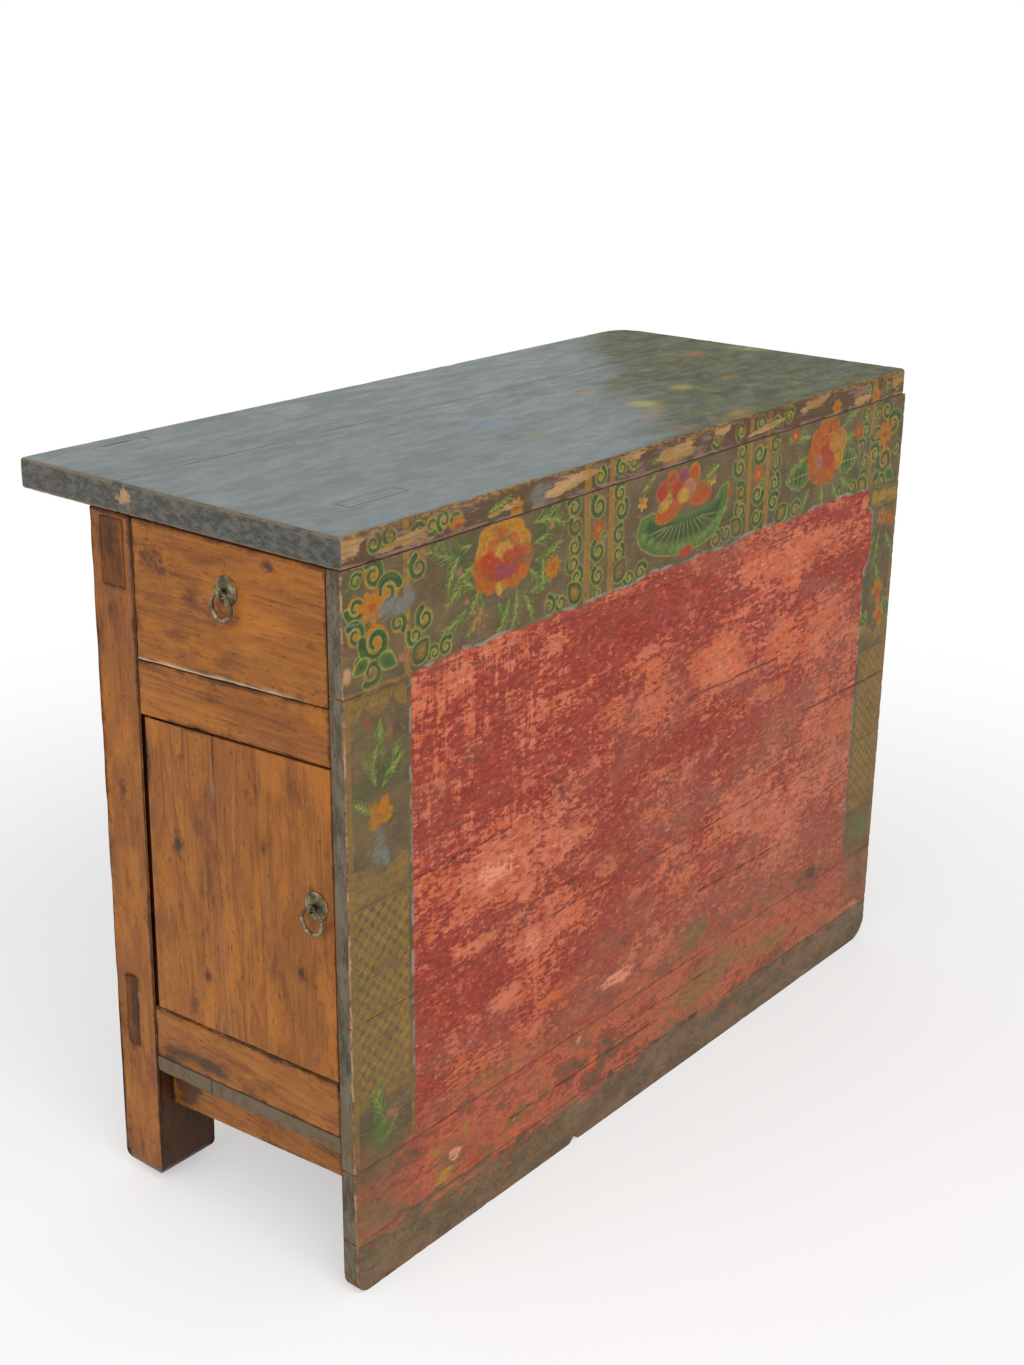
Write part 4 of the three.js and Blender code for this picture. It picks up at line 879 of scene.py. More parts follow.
    def net(self, low_x, high_x, low_z, high_z, pitch, width, colour, strength):
        """Crossing diagonal lines, drawn double."""
        chosen = self.near(low_x, high_x, low_z, high_z)
        if not len(chosen):
            return
        x, z = self.x[chosen], self.z[chosen]
        wobble = 1.2 * noise_at(on_plane(x, z), 30, 4)
        best = np.zeros(len(chosen))
        for way in (1, -1):
            phase = ((x + way * z + wobble) / pitch) % 1
            for middle in (0.36, 0.64):
                best = np.maximum(best, 0.5 + (width / 2 / pitch - np.abs(phase - middle)) * pitch / 0.9)
        edge = np.minimum.reduce([x - low_x, high_x - x, z - low_z, high_z - z])
        self.lay(chosen, strength * np.minimum(best, edge / 1.5), colour)

    def lace(self, low_x, high_x, high_z, depth, scallops, colour, upward=False):
        """A band of fine spiral work with a scalloped edge."""
        flip = -1 if upward else 1
        low_z, top_z = (high_z, high_z + depth) if upward else (high_z - depth, high_z)
        chosen = self.near(low_x, high_x, low_z, top_z)
        if not len(chosen):
            return
        x, z = self.x[chosen], self.z[chosen]
        share = (x - low_x) / (high_x - low_x)
        reach = depth * (0.45 + 0.55 * np.abs(np.cos(PI * share * scallops)))
        inside = reach - flip * (high_z - z)
        cell = 5.2
        row = np.floor(z / cell)
        u, v = ((x + 0.5 * cell * (row % 2)) % cell) - cell / 2, (z % cell) - cell / 2
        distance, turn = np.hypot(u, v), np.arctan2(v, u)
        rings = 0.5 + 0.5 * np.cos(distance * 3.4 - turn)
        share = np.clip(inside / 1.5, 0, 1) * (0.35 + 0.65 * rings)
        self.lay(chosen, share, colour)
        self.lay(chosen, np.clip(1 - np.abs(inside - 0.8), 0, 1) * 0.9, colour)


# Where the painter's lines run, in millimetres on the front
FRAME_LINES = ((87, 97), (380, 392), (425, 436), (709, 719), (750, 761), (1013, 1024))
ROW_FOOT, ROW_TOP = 700, FACE_TOP - 1
FIELD_LEFT, FIELD_RIGHT = 97, 1021
FIELD_TOP_LEFT, FIELD_TOP_RIGHT = 698, 709
FIELD_LOW, FOOT_HIGH = 172, 50
LEFT_LINE, RIGHT_LINE = (1, 9), (1094, 1102)


def paint_corner(work, x, z):
    """The square at an end of the border: scrolls round a star."""
    front = work.front
    for across, up, radius, start, hand, gold in (
        (-26, 32, 10, 0.6, 1, False), (-2, 33, 18, 2.2, -1, True), (-27, 5, 16, 3.3, 1, True),
        (-28, -22, 16, 2.4, -1, True), (18, 12, 21, 0.3, 1, True), (32, -24, 14, 5.4, 1, False),
        (-24, -52, 11, 4.0, 1, False), (14, -54, 14, 5.6, -1, False), (0, -36, 24, 2.9, 1, True),
        (-6, -65, 17, 4.0, 1, False),
    ):
        work.curl(x + across, z + up, radius, start, hand, heart=front.petal_gold if gold else front.gold)
    work.star(x - 4, z + 1, 19, 7, front.petal_gold, front.petal)
    work.broad_leaf(x + 4, z - 52, -0.5, 30, 17, veins=0, ruffles=0, heart=front.leaf_dark)
    work.broad_leaf(x - 10, z - 50, PI + 0.5, 26, 14, veins=0, ruffles=0)


def paint_border_row(work):
    """The row of framed flowers under the top."""
    front = work.front
    for left, right in FRAME_LINES:
        work.block(left, right, ROW_FOOT, ROW_TOP + 40, front.gold, 0.9)
    paint_corner(work, 47, 780)
    smears = ((66, 777, 16, 8, 0.3), (84, 774, 15, 8, 0.0), (97, 780, 9, 12, 0.2), (76, 768, 12, 5, 0.0))
    for x, z, wide, tall, turn in smears:
        work.dab(x, z, wide, tall, front.blue_smear, turn, soft=6, strength=0.85)
    work.stroke([(2, 771), (20, 769), (40, 770), (56, 768)], 2.2, front.blue_smear, 1.2, strength=0.85)
    work.dab(86, 719, 9, 6, front.petal_pink, soft=3, strength=0.8)
    work.dab(6, 720, 7, 10, front.bare_wood, soft=3, strength=0.8)
    work.dab(117, 819, 8, 6, front.petal_pink, soft=3, strength=0.7)
    paint_corner(work, 1057, 778)
    # Chains of scrolls inside each frame: place, radius, where the hook starts, and its hand
    for x, z, radius, start, hand in (
        (110, 806, 16, 1.9, 1), (119, 751, 16, 1.9, 1), (104, 736, 13, 2.6, 1), (133, 711, 11, 3.6, -1),
        (151, 713, 13, 0.9, 1), (362, 816, 15, 2.6, -1), (366, 794, 14, 2.4, 1), (364, 771, 14, 0.9, -1),
        (361, 752, 14, 2.6, 1), (369, 736, 13, 1.2, -1), (341, 713, 13, 2.4, 1), (320, 714, 13, 1.6, -1),
        (446, 816, 14, 1.0, 1), (449, 796, 15, 0.8, -1), (446, 767, 14, 1.2, 1), (445, 745, 14, 0.9, -1),
        (467, 712, 12, 3.3, 1), (489, 714, 14, 0.4, 1), (695, 818, 14, 2.0, -1), (691, 798, 15, 2.5, 1),
        (696, 767, 15, 2.1, -1), (697, 744, 15, 2.4, 1), (667, 722, 13, 2.6, 1), (644, 719, 14, 2.2, -1),
        (773, 813, 14, 0.9, 1), (773, 789, 13, 0.6, -1), (773, 764, 15, 1.1, -1), (772, 740, 15, 0.7, 1),
        (803, 717, 14, 0.6, -1), (827, 719, 14, 0.5, 1), (1001, 813, 14, 2.2, 1), (1000, 792, 13, 2.0, -1),
        (992, 771, 13, 2.4, -1), (1001, 750, 15, 2.1, 1), (1003, 728, 13, 2.5, -1), (974, 721, 14, 2.4, 1),
        (947, 721, 13, 2.7, -1),
    ):
        work.curl(x, z, radius, start, hand)
    # Seed pods in the frames' lower corners
    for x, z, heading in (
        (101, 706, 0.8), (376, 706, 2.3), (438, 712, 0.9), (701, 714, 2.4), (779, 712, 0.6), (1012, 708, 2.5),
    ):
        work.broad_leaf(x, z, heading, 34, 24, veins=0, ruffles=0, body=front.leaf_dark, heart=front.gold)
    # The narrow strips between the frames
    for middle, hand in ((407, 1), (734, -1)):
        for z, radius in ((808, 17), (757, 16), (728, 14), (708, 9)):
            work.curl(middle, z, radius, 1.1 + hand, hand)
        work.star(middle, 782, 13, 6, front.petal, front.petal_gold)
        work.curl(middle + 9, 771, 7, 0.4, hand)


def paint_blossoms(work):
    """The three large flowers, their leaves and the small ones between them."""
    front = work.front
    gold, orange, red, pink, magenta, light = (
        front.petal_gold, front.petal, front.petal_red, front.petal_pink, front.petal_magenta, front.petal_light
    )
    for x, z, heading, length in (
        (196, 812, 3.3, 58), (180, 798, 2.9, 56), (196, 782, 3.6, 50), (200, 762, 2.7, 44),
        (186, 748, 3.9, 42), (212, 752, 4.3, 44), (232, 742, 5.3, 40), (252, 744, 4.6, 46),
        (268, 746, 5.6, 46), (282, 738, 0.1, 40), (283, 768, 5.4, 44), (290, 772, 6.2, 50),
        (288, 790, 0.1, 52), (300, 800, 0.8, 40), (286, 812, 0.2, 60), (206, 800, 4.0, 40),
        (206, 770, 4.4, 42), (262, 752, 5.0, 44), (174, 806, 3.9, 40), (306, 776, 5.0, 38),
    ):
        work.spray(x, z, heading, 0.95 * length, 6, bend=0.7 * math.sin(3 * x + z))
    for index in range(54):
        turn, reach = index * 2.4, 15 * math.sqrt(index / 54)
        spot = (202 + reach * math.cos(turn), 726 + reach * math.sin(turn))
        work.dab(*spot, 1.5, 1.5, (light, red, pink)[index % 3], strength=0.7)
    work.petals(241, 786, (
        (-26, 25, 14, gold, light), (-10, 31, 14, gold, light), (6, 32, 14, gold, light),
        (22, 26, 14, gold, light), (34, 12, 13, gold, light), (38, -4, 13, orange, gold),
        (33, -18, 12, orange, gold), (19, -25, 12, orange, gold), (-32, 10, 13, gold, light),
        (-37, -4, 13, orange, gold), (-33, -18, 12, orange, gold), (-21, -25, 11, orange, gold),
        (0, -25, 11, orange, gold), (-2, 22, 14, orange, gold), (-15, 14, 13, orange, light),
        (16, 14, 14, orange, light), (-24, -2, 13, red, orange), (24, -4, 13, red, orange),
        (2, 8, 15, light, orange), (-14, -10, 13, red, orange), (12, -12, 12, magenta, red),
        (-2, -16, 10, magenta, red), (10, -2, 9, red, orange),
    ))
    work.dab(235, 754, 6, 8, light, 0.2, soft=2)
    work.dab(243, 757, 5, 6, gold, 0.2, soft=2)
    work.star(326, 757, 14, 9, gold, orange)
    for x, z in ((171, 787), (183, 752), (322, 803)):
        work.dab(x, z, 5, 3.4, pink, strength=0.7)

    # Lotus over its wide leaf
    leaf_rim = [
        (479, 757), (488, 741), (512, 728), (545, 720), (575, 717), (612, 719), (640, 727), (655, 742),
        (667, 765), (668, 786), (652, 784), (640, 770),
    ]
    work.fill([*leaf_rim, (612, 766), (580, 764), (545, 768), (510, 778), (488, 775)], front.leaf, 3)
    hollow = [
        (492, 757), (505, 745), (540, 738), (580, 735), (620, 738), (645, 750), (655, 770), (630, 762),
        (580, 758), (530, 764), (505, 770),
    ]
    work.fill(hollow, front.leaf_dark, 6)
    for index in range(13):
        x = 490 + index * 14
        foot = 722 + 0.0042 * (x - 575) ** 2
        vein = [(575 + 0.45 * (x - 575), 756), (x, foot)]
        work.stroke(vein, 1.7, front.outline, 1.0, soft=1.3, strength=0.75)
        work.dab(x + 4, foot + 2, 7, 5, front.leaf_bright, 0.3, soft=3, strength=0.7)
    work.stroke(leaf_rim, 2.0, front.outline, soft=1.6)
    work.stroke([(479, 757), (488, 776), (510, 779), (540, 769)], 2.0, front.outline, soft=1.6)
    for x, z, wide, tall, turn, colour, rim in (
        (545, 778, 29, 14, 0.3, orange, gold), (602, 785, 28, 13, -0.15, orange, gold),
        (536, 786, 15, 7, 0.4, light, light), (529, 801, 13, 10, 0.6, red, pink),
        (549, 808, 11, 14, 0.4, orange, gold), (592, 808, 11, 15, -0.3, orange, light),
        (571, 806, 11, 16, 0.0, magenta, pink), (560, 795, 11, 11, 0.3, red, orange),
        (583, 794, 11, 11, -0.4, pink, light), (572, 788, 12, 8, 0.0, light, gold),
    ):
        work.dab(x, z, wide + 1.6, tall + 1.6, rim, turn, soft=1.6)
        work.dab(x, z, wide, tall, colour, turn, soft=4)
    work.dab(580, 718, 13, 7, red, 0.1, soft=3)
    for x, z in ((490, 795), (631, 797)):
        work.star(x, z, 10, 6, light, pink)
    work.spray(484, 806, 0.4, 34, 5)
    work.spray(650, 812, 3.4, 34, 5)
    work.dab(671, 774, 6, 5, orange, soft=2)

    # The third blossom
    work.broad_leaf(862, 762, PI + 0.05, 62, 34)
    work.broad_leaf(928, 760, 0.0, 54, 34)
    for x, z, heading, length in (
        (930, 806, 0.3, 44), (862, 806, 2.9, 52), (934, 788, 0.05, 44), (862, 742, 4.0, 30),
        (892, 740, 4.7, 32), (915, 740, 5.2, 32), (858, 785, 3.3, 44), (936, 742, 5.6, 32),
    ):
        work.spray(x, z, heading, length)
    work.petals(899, 781, (
        (-6, 30, 17, orange, gold), (14, 29, 16, orange, gold), (34, 10, 17, gold, light),
        (29, -12, 15, gold, light), (8, -30, 15, orange, gold), (-12, -31, 13, orange, gold),
        (-28, -22, 15, orange, gold), (-34, 0, 15, orange, gold), (-26, 20, 15, orange, gold),
        (10, 10, 14, gold, light), (-8, 12, 14, orange, gold), (-6, -3, 13, red, orange),
        (-21, -11, 11, pink, orange), (8, -12, 12, red, orange),
    ))
    work.star(980, 794, 12, 6, orange, gold)
    work.star(818, 816, 10, 6, orange, light)


def paint_side_columns(work):
    """The narrow panels down both sides of the red field."""
    front = work.front
    for left, right in (LEFT_LINE, RIGHT_LINE):
        work.block(left, right, 165, ROW_FOOT, front.gold, 0.7)
    for low, high, left, right, strength in (
        (693, 701, 0, 100, 0.95), (466, 474, 4, 92, 0.9), (229, 240, 4, 99, 0.9), (164, 229, 91, 100, 0.8),
        (472, 480, 1028, 1098, 0.55), (678, 704, 1026, 1100, 0.7),
    ):
        chosen = work.near(left, right, low, high)
        ragged = 0.75 + 0.25 * noise_at(on_plane(work.x[chosen], work.z[chosen]), 6, 3)
        work.lay(chosen, strength * ragged, front.gold)
    work.lace(8, 90, 692, 24, 2, front.gold)
    work.lace(8, 90, 475, 34, 1, front.gold, upward=True)
    work.net(8, 91, 240, 465, 17, 2.4, front.gold_bright, 0.95)
    work.net(8, 91, 240, 465, 17 / 3, 0.9, front.ground_gold, 0.6)
    for index in range(26):
        z = 250 + index * 8.2
        work.dab(82 + 3 * math.sin(index * 2.3), z, 6, 5, front.gold_bright, strength=0.45, soft=6)
    # The left panel's plant
    for x, z, wide, tall, colour, turn in (
        (33, 664, 6, 10, front.petal_red, 0.3), (55, 658, 8, 12, front.petal_pink, -0.4),
        (64, 650, 6, 10, front.petal_pink, 0.3), (60, 644, 8, 6, front.petal_light, 0.0),
        (42, 655, 5, 8, front.petal_pink, 0.1),
    ):
        work.dab(x, z, wide, tall, colour, turn, soft=5, strength=0.5)
    for x, z, heading, length in (
        (52, 668, 4.6, 46), (45, 590, 1.9, 40), (50, 585, 0.9, 52), (40, 560, 2.3, 34), (55, 600, 0.4, 30),
        (48, 640, 4.3, 34),
    ):
        work.spray(x, z, heading, length, 5)
    golden = ((44, 562, 8, 15, 0.5), (54, 566, 8, 16, -0.3), (60, 557, 7, 11, -0.9), (40, 552, 7, 10, 0.9))
    for x, z, wide, tall, turn in golden:
        work.dab(x, z, wide, tall, front.petal_gold, turn)
    for x, z, wide, tall in ((50, 535, 7, 14), (44, 518, 8, 12), (56, 512, 7, 14)):
        work.dab(x, z, wide, tall, front.blue_smear, 0.2, strength=0.8, soft=3)
    # The right panel's blooms and scrolls
    for index in range(5):
        hand = 1 if index % 2 else -1
        work.curl(1036 + index * 14, 691, 9, 1.5 + index, hand, front.petal_gold, front.petal)
    work.star(1063, 660, 14, 6, front.petal_gold, front.petal)
    work.star(1085, 655, 12, 5, front.petal, front.gold)
    for stem in ((1060, 645, 4.4, 60), (1050, 640, 3.9, 40), (1075, 640, 5.2, 46), (1055, 600, 4.9, 50)):
        work.spray(*stem, 5)
    for x, z in ((1066, 551), (1075, 514)):
        for turn in (0.4, 1.2, 2.0, 2.8, 5.0):
            work.dab(x + 7 * math.cos(turn), z + 8 * math.sin(turn), 12, 6, front.petal_gold, turn)
        work.dab(x, z, 7, 8, front.petal)
    work.broad_leaf(1040, 530, 4.2, 46, 20)
    work.broad_leaf(1085, 540, 5.2, 44, 18)
    work.lace(1028, 1096, 481, 30, 1, front.gold, upward=True)
    work.net(1028, 1097, 225, 470, 16, 2.2, front.gold_bright, 0.9)
    work.block(1026, 1098, 225, 470, front.gold, 0.45)
    # Rubbed flowers low on both sides
    for stem in ((30, 200, 1.2, 46), (50, 190, 1.8, 50), (38, 170, 0.7, 44), (70, 215, 3.6, 40)):
        work.spray(*stem, 5)
    work.dab(60, 205, 14, 10, front.petal_pink, 0.4, strength=0.5, soft=5)
    work.dab(40, 185, 24, 30, front.leaf, 0.1, strength=0.5, soft=14)
    work.dab(1070, 190, 26, 40, front.leaf, 0.0, strength=0.45, soft=16)


def paint_foot(work):
    """Ghosts of scrolls along the lowest board."""
    for index in range(12):
        x = 40 + index * 30
        work.curl(x, 38 + 5 * math.sin(index * 1.7), 14, 1.2 + index, 1 if index % 2 else -1)
    work.cover[work.z < 60] *= 0.35


def red_field_edges(x, z):
    """How far inside the red field each point is, with the field's ragged outline."""
    along, up = on_plane(x, 0), z[:, None] * [0, 1, 0]
    top = FIELD_TOP_LEFT + (FIELD_TOP_RIGHT - FIELD_TOP_LEFT) * x / LENGTH
    top = top + 4.5 * rough_noise(along + [0, 3, 0], 34, 3, 5) + 1.5 * step_up(x, 300, 700)
    bulge = 13 * step_up(z, 590, 612) * step_up(z, 684, 672)
    right = FIELD_RIGHT + bulge + 3.0 * rough_noise(up, 30, 3, 8)
    left = FIELD_LEFT + 2.6 * rough_noise(up + [9, 0, 0], 16, 3, 11)
    return np.minimum.reduce([top - z, right - x, x - left])


def front_zones(x, z):
    """Shares of red field, pale line, mixed lower band and scrubbed foot at each point of the front."""
    inside = red_field_edges(x, z)
    line = on_plane(x, z)
    field = step_up(inside, -0.8, 0.8)
    pale = step_up(inside, -4.2, -2.6) * step_up(inside, 0.8, -0.6) * step_up(z, 175, 215)
    pale = pale * step_up(rough_noise(line, 14, 4, 21), -0.2, 0.2)
    ragged = z + 34 * rough_noise(line, [70, 24, 20], 4, 31)
    low = step_up(ragged, FIELD_LOW + 40, FIELD_LOW - 50)
    foot = step_up(z + 8 * rough_noise(line, [70, 16, 16], 3, 37), FOOT_HIGH + 50, FOOT_HIGH - 30)
    from_ends = step_up(x + 20 * rough_noise(line, 30, 3, 41), 40, 130) * step_up(x, 1080, 980)
    spread = step_up(ragged, FIELD_LOW + 4, FIELD_LOW - 14) * from_ends
    low = low * (0.45 + 0.55 * from_ends)
    return np.stack([np.maximum(field * (1 - low), spread * (1 - foot)), pale, low, foot], axis=1)


# How the rubbing of the red paint changes over the field: place, reach and amount, in millimetres
RUBBED_PLACES = (
    (330, 665, 22, 14, 0.14), (160, 668, 26, 14, 0.12), (278, 580, 26, 40, 0.07), (480, 660, 240, 40, -0.13),
    (830, 650, 90, 40, 0.07), (724, 661, 46, 18, 0.2), (674, 560, 60, 34, 0.13), (905, 545, 60, 44, 0.1),
    (940, 655, 90, 30, 0.05), (955, 615, 90, 18, -0.13), (1000, 480, 34, 90, 0.07), (770, 480, 60, 30, 0.08),
    (233, 424, 42, 16, 0.2), (357, 418, 40, 18, 0.24), (176, 350, 20, 10, 0.18), (218, 350, 20, 9, 0.18),
    (240, 370, 150, 20, -0.08), (330, 500, 130, 40, -0.05), (480, 420, 60, 60, -0.06),
    (600, 480, 50, 50, -0.06), (190, 290, 90, 60, -0.05), (233, 262, 36, 11, 0.13), (306, 312, 30, 14, 0.13),
    (527, 285, 60, 24, 0.09), (780, 330, 170, 60, 0.07), (917, 300, 60, 40, 0.08), (450, 230, 120, 50, -0.03),
    (1035, 300, 16, 60, 0.08), (300, 195, 160, 20, 0.04), (840, 640, 12, 60, 0.1),
)
# Where the lower band is worn down to ochre, in the same way
OCHRE_PLACES = (
    (700, 118, 90, 28, 0.5), (640, 95, 60, 20, 0.5), (840, 95, 70, 22, 0.5), (640, 185, 40, 22, 0.5),
    (150, 95, 40, 30, 0.5),
)
# Open cracks: three points, and how wide each opens
CRACKS = (
    ((600, 525), (690, 524), (803, 523), 1.3), ((877, 427), (960, 425), (1098, 424), 1.3),
    ((100, 470), (170, 471), (220, 471), 0.7), ((640, 246), (760, 244), (850, 243), 0.9),
    ((470, 120), (620, 117), (700, 117), 1.0), ((260, 96), (420, 97), (560, 94), 1.0),
)


def smudges(work):
    """Flecks of red, ochre and salmon in the mixed band above the foot."""
    front = work.front
    tones = ("red", "salmon", "ochre_wear", "red_deep", "salmon_dark", "ground", "umber")
    for index in range(120):
        x = 20 + (index * 0.61803) % 1 * 1070
        z = 30 + (index * 0.75488 + 0.13) % 1 * 190
        size = 4 + 9 * ((index * 0.56984) % 1) ** 2
        tone, turn = getattr(front, tones[(index * 5) % 7]), 0.2 * math.sin(index)
        work.dab(x, z, 2.2 * size, 0.9 * size, tone, turn, soft=1.6 * size, strength=0.85)
    for x, z, wide, tall, colour in (
        (188, 73, 18, 5, front.petal_red), (200, 88, 8, 6, front.petal_red), (283, 72, 22, 6, front.orange),
        (290, 84, 14, 5, front.petal_red), (130, 118, 9, 8, front.gold), (143, 80, 18, 8, front.gold_bright),
        (160, 100, 12, 8, front.salmon_pale), (180, 124, 6, 9, front.gold), (420, 100, 14, 18, front.orange),
        (350, 226, 60, 9, front.orange), (470, 195, 40, 8, front.salmon_pale),
        (250, 262, 34, 14, front.salmon), (640, 196, 18, 8, front.salmon_pale),
        (935, 165, 16, 18, front.umber), (640, 190, 34, 20, front.ground), (560, 60, 12, 5, front.crack),
        (645, 62, 14, 5, front.crack), (790, 52, 8, 4, front.crack), (930, 62, 9, 5, front.crack),
        (460, 62, 10, 5, front.crack), (60, 45, 22, 12, front.salmon_dark), (16, 44, 12, 12, front.ochre_wear),
        (900, 62, 60, 5, front.salmon), (1050, 62, 40, 8, front.salmon),
    ):
        work.dab(x, z, 1.3 * wide, 1.5 * tall, colour, soft=1.4 * tall, strength=1.0)


def crack_depth(x, z):
    """How open the cracks are at each point, from 0 to 1."""
    best = np.zeros_like(x)
    for *points, width in CRACKS:
        spots = np.array(points, float)
        for start, end in zip(spots, spots[1:]):
            along = end - start
            share = np.clip(((x - start[0]) * along[0] + (z - start[1]) * along[1]) / (along @ along), 0, 1)
            wander = noise_at(on_plane(x, 0), 14, 3)
            away = np.hypot(x - start[0] - share * along[0], z + wander - start[1] - share * along[1])
            best = np.maximum(best, np.clip(1.2 - away / width, 0, 1))
    return best


def board_ends(node):
    """The heights of a front board's lower and upper edge at the left end, then at the right.

    The lowest board has no lower edge there, and the radii of its round corners stand in for them."""
    points = from_frame(points_of(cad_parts[node].data))
    reach = 2.0
    left, right = points[points[:, 0] < reach, 2], points[points[:, 0] > LENGTH - reach, 2]
    if node == "face_board_1":
        flat = points[points[:, 2] < 0.5, 0]
        return flat.min(), left.max(), LENGTH - flat.max(), right.max()
    return left.min(), left.max(), right.min(), right.max()


def keep_front_layers(mesh, x, z, near_edge, cracked):
    """Paints the ornament over a front board's points, and keeps where the paint is worn."""
    work, flecks = Painting(x, z, settings().front), Painting(x, z, settings().front)
    for paint in (paint_border_row, paint_blossoms, paint_side_columns, paint_foot):
        paint(work)
    smudges(flecks)
    zones = front_zones(x, z)
    work.cover *= 1 - zones[:, 0]
    keep_colour(mesh, "ornament", work.layer())
    keep_colour(mesh, "zones", zones)
    keep_colour(mesh, "smudge", flecks.layer())
    keep(mesh, "rubbed", spots_at(x, z, RUBBED_PLACES) - 0.045 * step_up(z, 330, 200))
    keep(mesh, "ochre", spots_at(x, z, OCHRE_PLACES))
    keep(mesh, "dusty", 0.11 * step_up(x, 250, 700) * step_up(z, 640, 400) + 0.1 * step_up(z, 330, 180))
    keep(mesh, "combed", 0.2 + 0.6 * step_up(x, 460, 140) * step_up(z, 420, 560))
    keep(mesh, "arris", near_edge * (1 - 0.75 * step_up(x, 100, 112) * step_up(z, 655, 672)))
    keep(mesh, "flaked", 0.5 * np.exp(-x / 5) + 0.3 * np.exp(-(FACE_TOP - z) / 4) + 0.2 * np.exp(-z / 10))
    keep(mesh, "crack", cracked)


def worn_front_board(index, step, looks):
    """One board of the painted front, on a grid fine enough to carry the painting."""
    node = f"face_board_{index}"
    left_low, left_high, right_low, right_high = board_ends(node)
    if index == 5:
        across = np.arange(0, LENGTH, step)
    else:
        edges = (0, FIELD_LEFT + 4, FIELD_RIGHT - 4, LENGTH)
        steps = (0.7 * step, 1.35 * step, 0.7 * step)
        across = np.concatenate([np.arange(a, b, s) for a, b, s in zip(edges, edges[1:], steps)])
    across = np.append(across[across < LENGTH - 1], LENGTH)
    near_end = np.array([0.12, 0.4, 0.9, 1.7, 2.6])
    columns = np.unique(np.concatenate([across, near_end, LENGTH - near_end]))
    share = columns / LENGTH
    low = left_low + share * (right_low - left_low)
    high = left_high + share * (right_high - left_high)
    if index == 1:
        low = foot_outline(columns, left_low, right_low)
    line = on_plane(columns, index * 50.0)
    ease = 0.3 + 0.8 * step_up(rough_noise(line, 22, 3, index), 0.15, 0.8)
    from_end = np.minimum(columns, LENGTH - columns)
    inset = np.where(from_end < 1.2, 1.2 - np.sqrt(np.maximum(1.44 - (1.2 - from_end) ** 2, 0)), 0)
    rows = max(4, round((high - low).max() / step))
    back_rows = 4
    around = rows + back_rows + 6
    rings = np.zeros((len(columns), around, 3))
    rings[..., 0] = columns[:, None]
    front_share = np.linspace(0, 1, rows + 1)
    front_low, front_high = low + inset + ease, high - inset - ease
    y, z = rings[..., 1], rings[..., 2]
    y[:, 0], z[:, 0] = inset + ease, low + inset
    span = slice(1, rows + 2)
    y[:, span] = inset[:, None]
    z[:, span] = front_low[:, None] + (front_high - front_low)[:, None] * front_share
    y[:, rows + 2], z[:, rows + 2] = inset + ease, high - inset
    y[:, rows + 3], z[:, rows + 3] = THICKNESS - inset - 1, high - inset
    back_share = np.linspace(1, 0, back_rows + 1)
    span_back = slice(rows + 4, rows + 5 + back_rows)
    y[:, span_back] = (THICKNESS - inset)[:, None]
    z[:, span_back] = (low + inset + 1)[:, None] + (high - low - 2 * inset - 2)[:, None] * back_share
    y[:, -1], z[:, -1] = THICKNESS - inset - 1, low + inset

    flat_x, flat_z = rings[:, span, 0].ravel(), rings[:, span, 2].ravel()
    spots = on_plane(flat_x, flat_z)
    low_edge, high_edge = np.repeat(low, rows + 1), np.repeat(high, rows + 1)
    from_edge = np.minimum.reduce([flat_x, LENGTH - flat_x, flat_z - low_edge, high_edge - flat_z])
    warp = 0.22 * (1 + rough_noise(spots, [240, 60, 60], 2, index))
    ridges = 0.07 * (1 + rough_noise(spots, [60, 3.2, 3.2], 2, index + 3))
    dents = 0.5 * step_up(rough_noise(spots, 13, 3, index + 9), 0.45, 0.85)
    nicks = 1.1 * np.exp(-from_edge / 2.4) * step_up(rough_noise(spots, [16, 7, 7], 3, index + 13), 0.0, 0.7)
    crack = crack_depth(flat_x, flat_z)
    rings[:, span, 1] += (warp + ridges + dents + nicks + 1.2 * crack).reshape(len(columns), -1)

    mesh = mesh_from_rings(node, rings)
    near_edge, cracked = np.ones((len(columns), around)), np.zeros((len(columns), around))
    near_edge[:, span] = np.exp(-from_edge / 2.2).reshape(len(columns), -1)
    cracked[:, span] = crack.reshape(len(columns), -1)
    keep_front_layers(mesh, rings[..., 0].ravel(), rings[..., 2].ravel(), near_edge.ravel(), cracked.ravel())

    for look in looks:
        mesh.materials.append(look)
    kinds = np.ones((len(columns) - 1, around), np.int32)
    kinds[:, 0 : rows + 2] = 0
    mesh.polygons.foreach_set("material_index", np.concatenate([kinds.ravel(), [2, 2]]).astype(np.int32))
    piece = link(node + "_worn", mesh)
    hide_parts(node)
    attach(piece, "case")


def foot_outline(columns, left_radius, right_radius):
    """The lowest board's lower edge: rounded ends and one chip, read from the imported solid."""
    points = from_frame(points_of(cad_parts["face_board_1"].data))
    low = np.zeros_like(columns)
    for radius, from_end in ((left_radius, columns), (right_radius, LENGTH - columns)):
        inward = np.clip(radius - from_end, 0, radius)
        low = np.maximum(low, radius - np.sqrt(radius**2 - inward**2))
    middle = points[(points[:, 0] > left_radius * 3) & (points[:, 0] < LENGTH - right_radius * 3)]
    chip = middle[(middle[:, 2] > 2) & (middle[:, 2] < 20)]
    if len(chip):
        place, depth = chip[:, 0].mean(), chip[:, 2].max()
        low = np.maximum(low, depth * np.clip(1 - np.abs(columns - place) / depth, 0, 1))
    return low


# Settings


def colour_of(name, note, *shade):
    return FloatVectorProperty(
        name=name, description=note, subtype="COLOR", size=3, min=0, max=1, default=linear(*shade)
    )


def length_of(name, note, default):
    return FloatProperty(name=name, description=note, default=default, unit="LENGTH")


def lamp_of(name, note, default):
    return FloatProperty(name=name, description=note, default=default, min=0, unit="POWER")


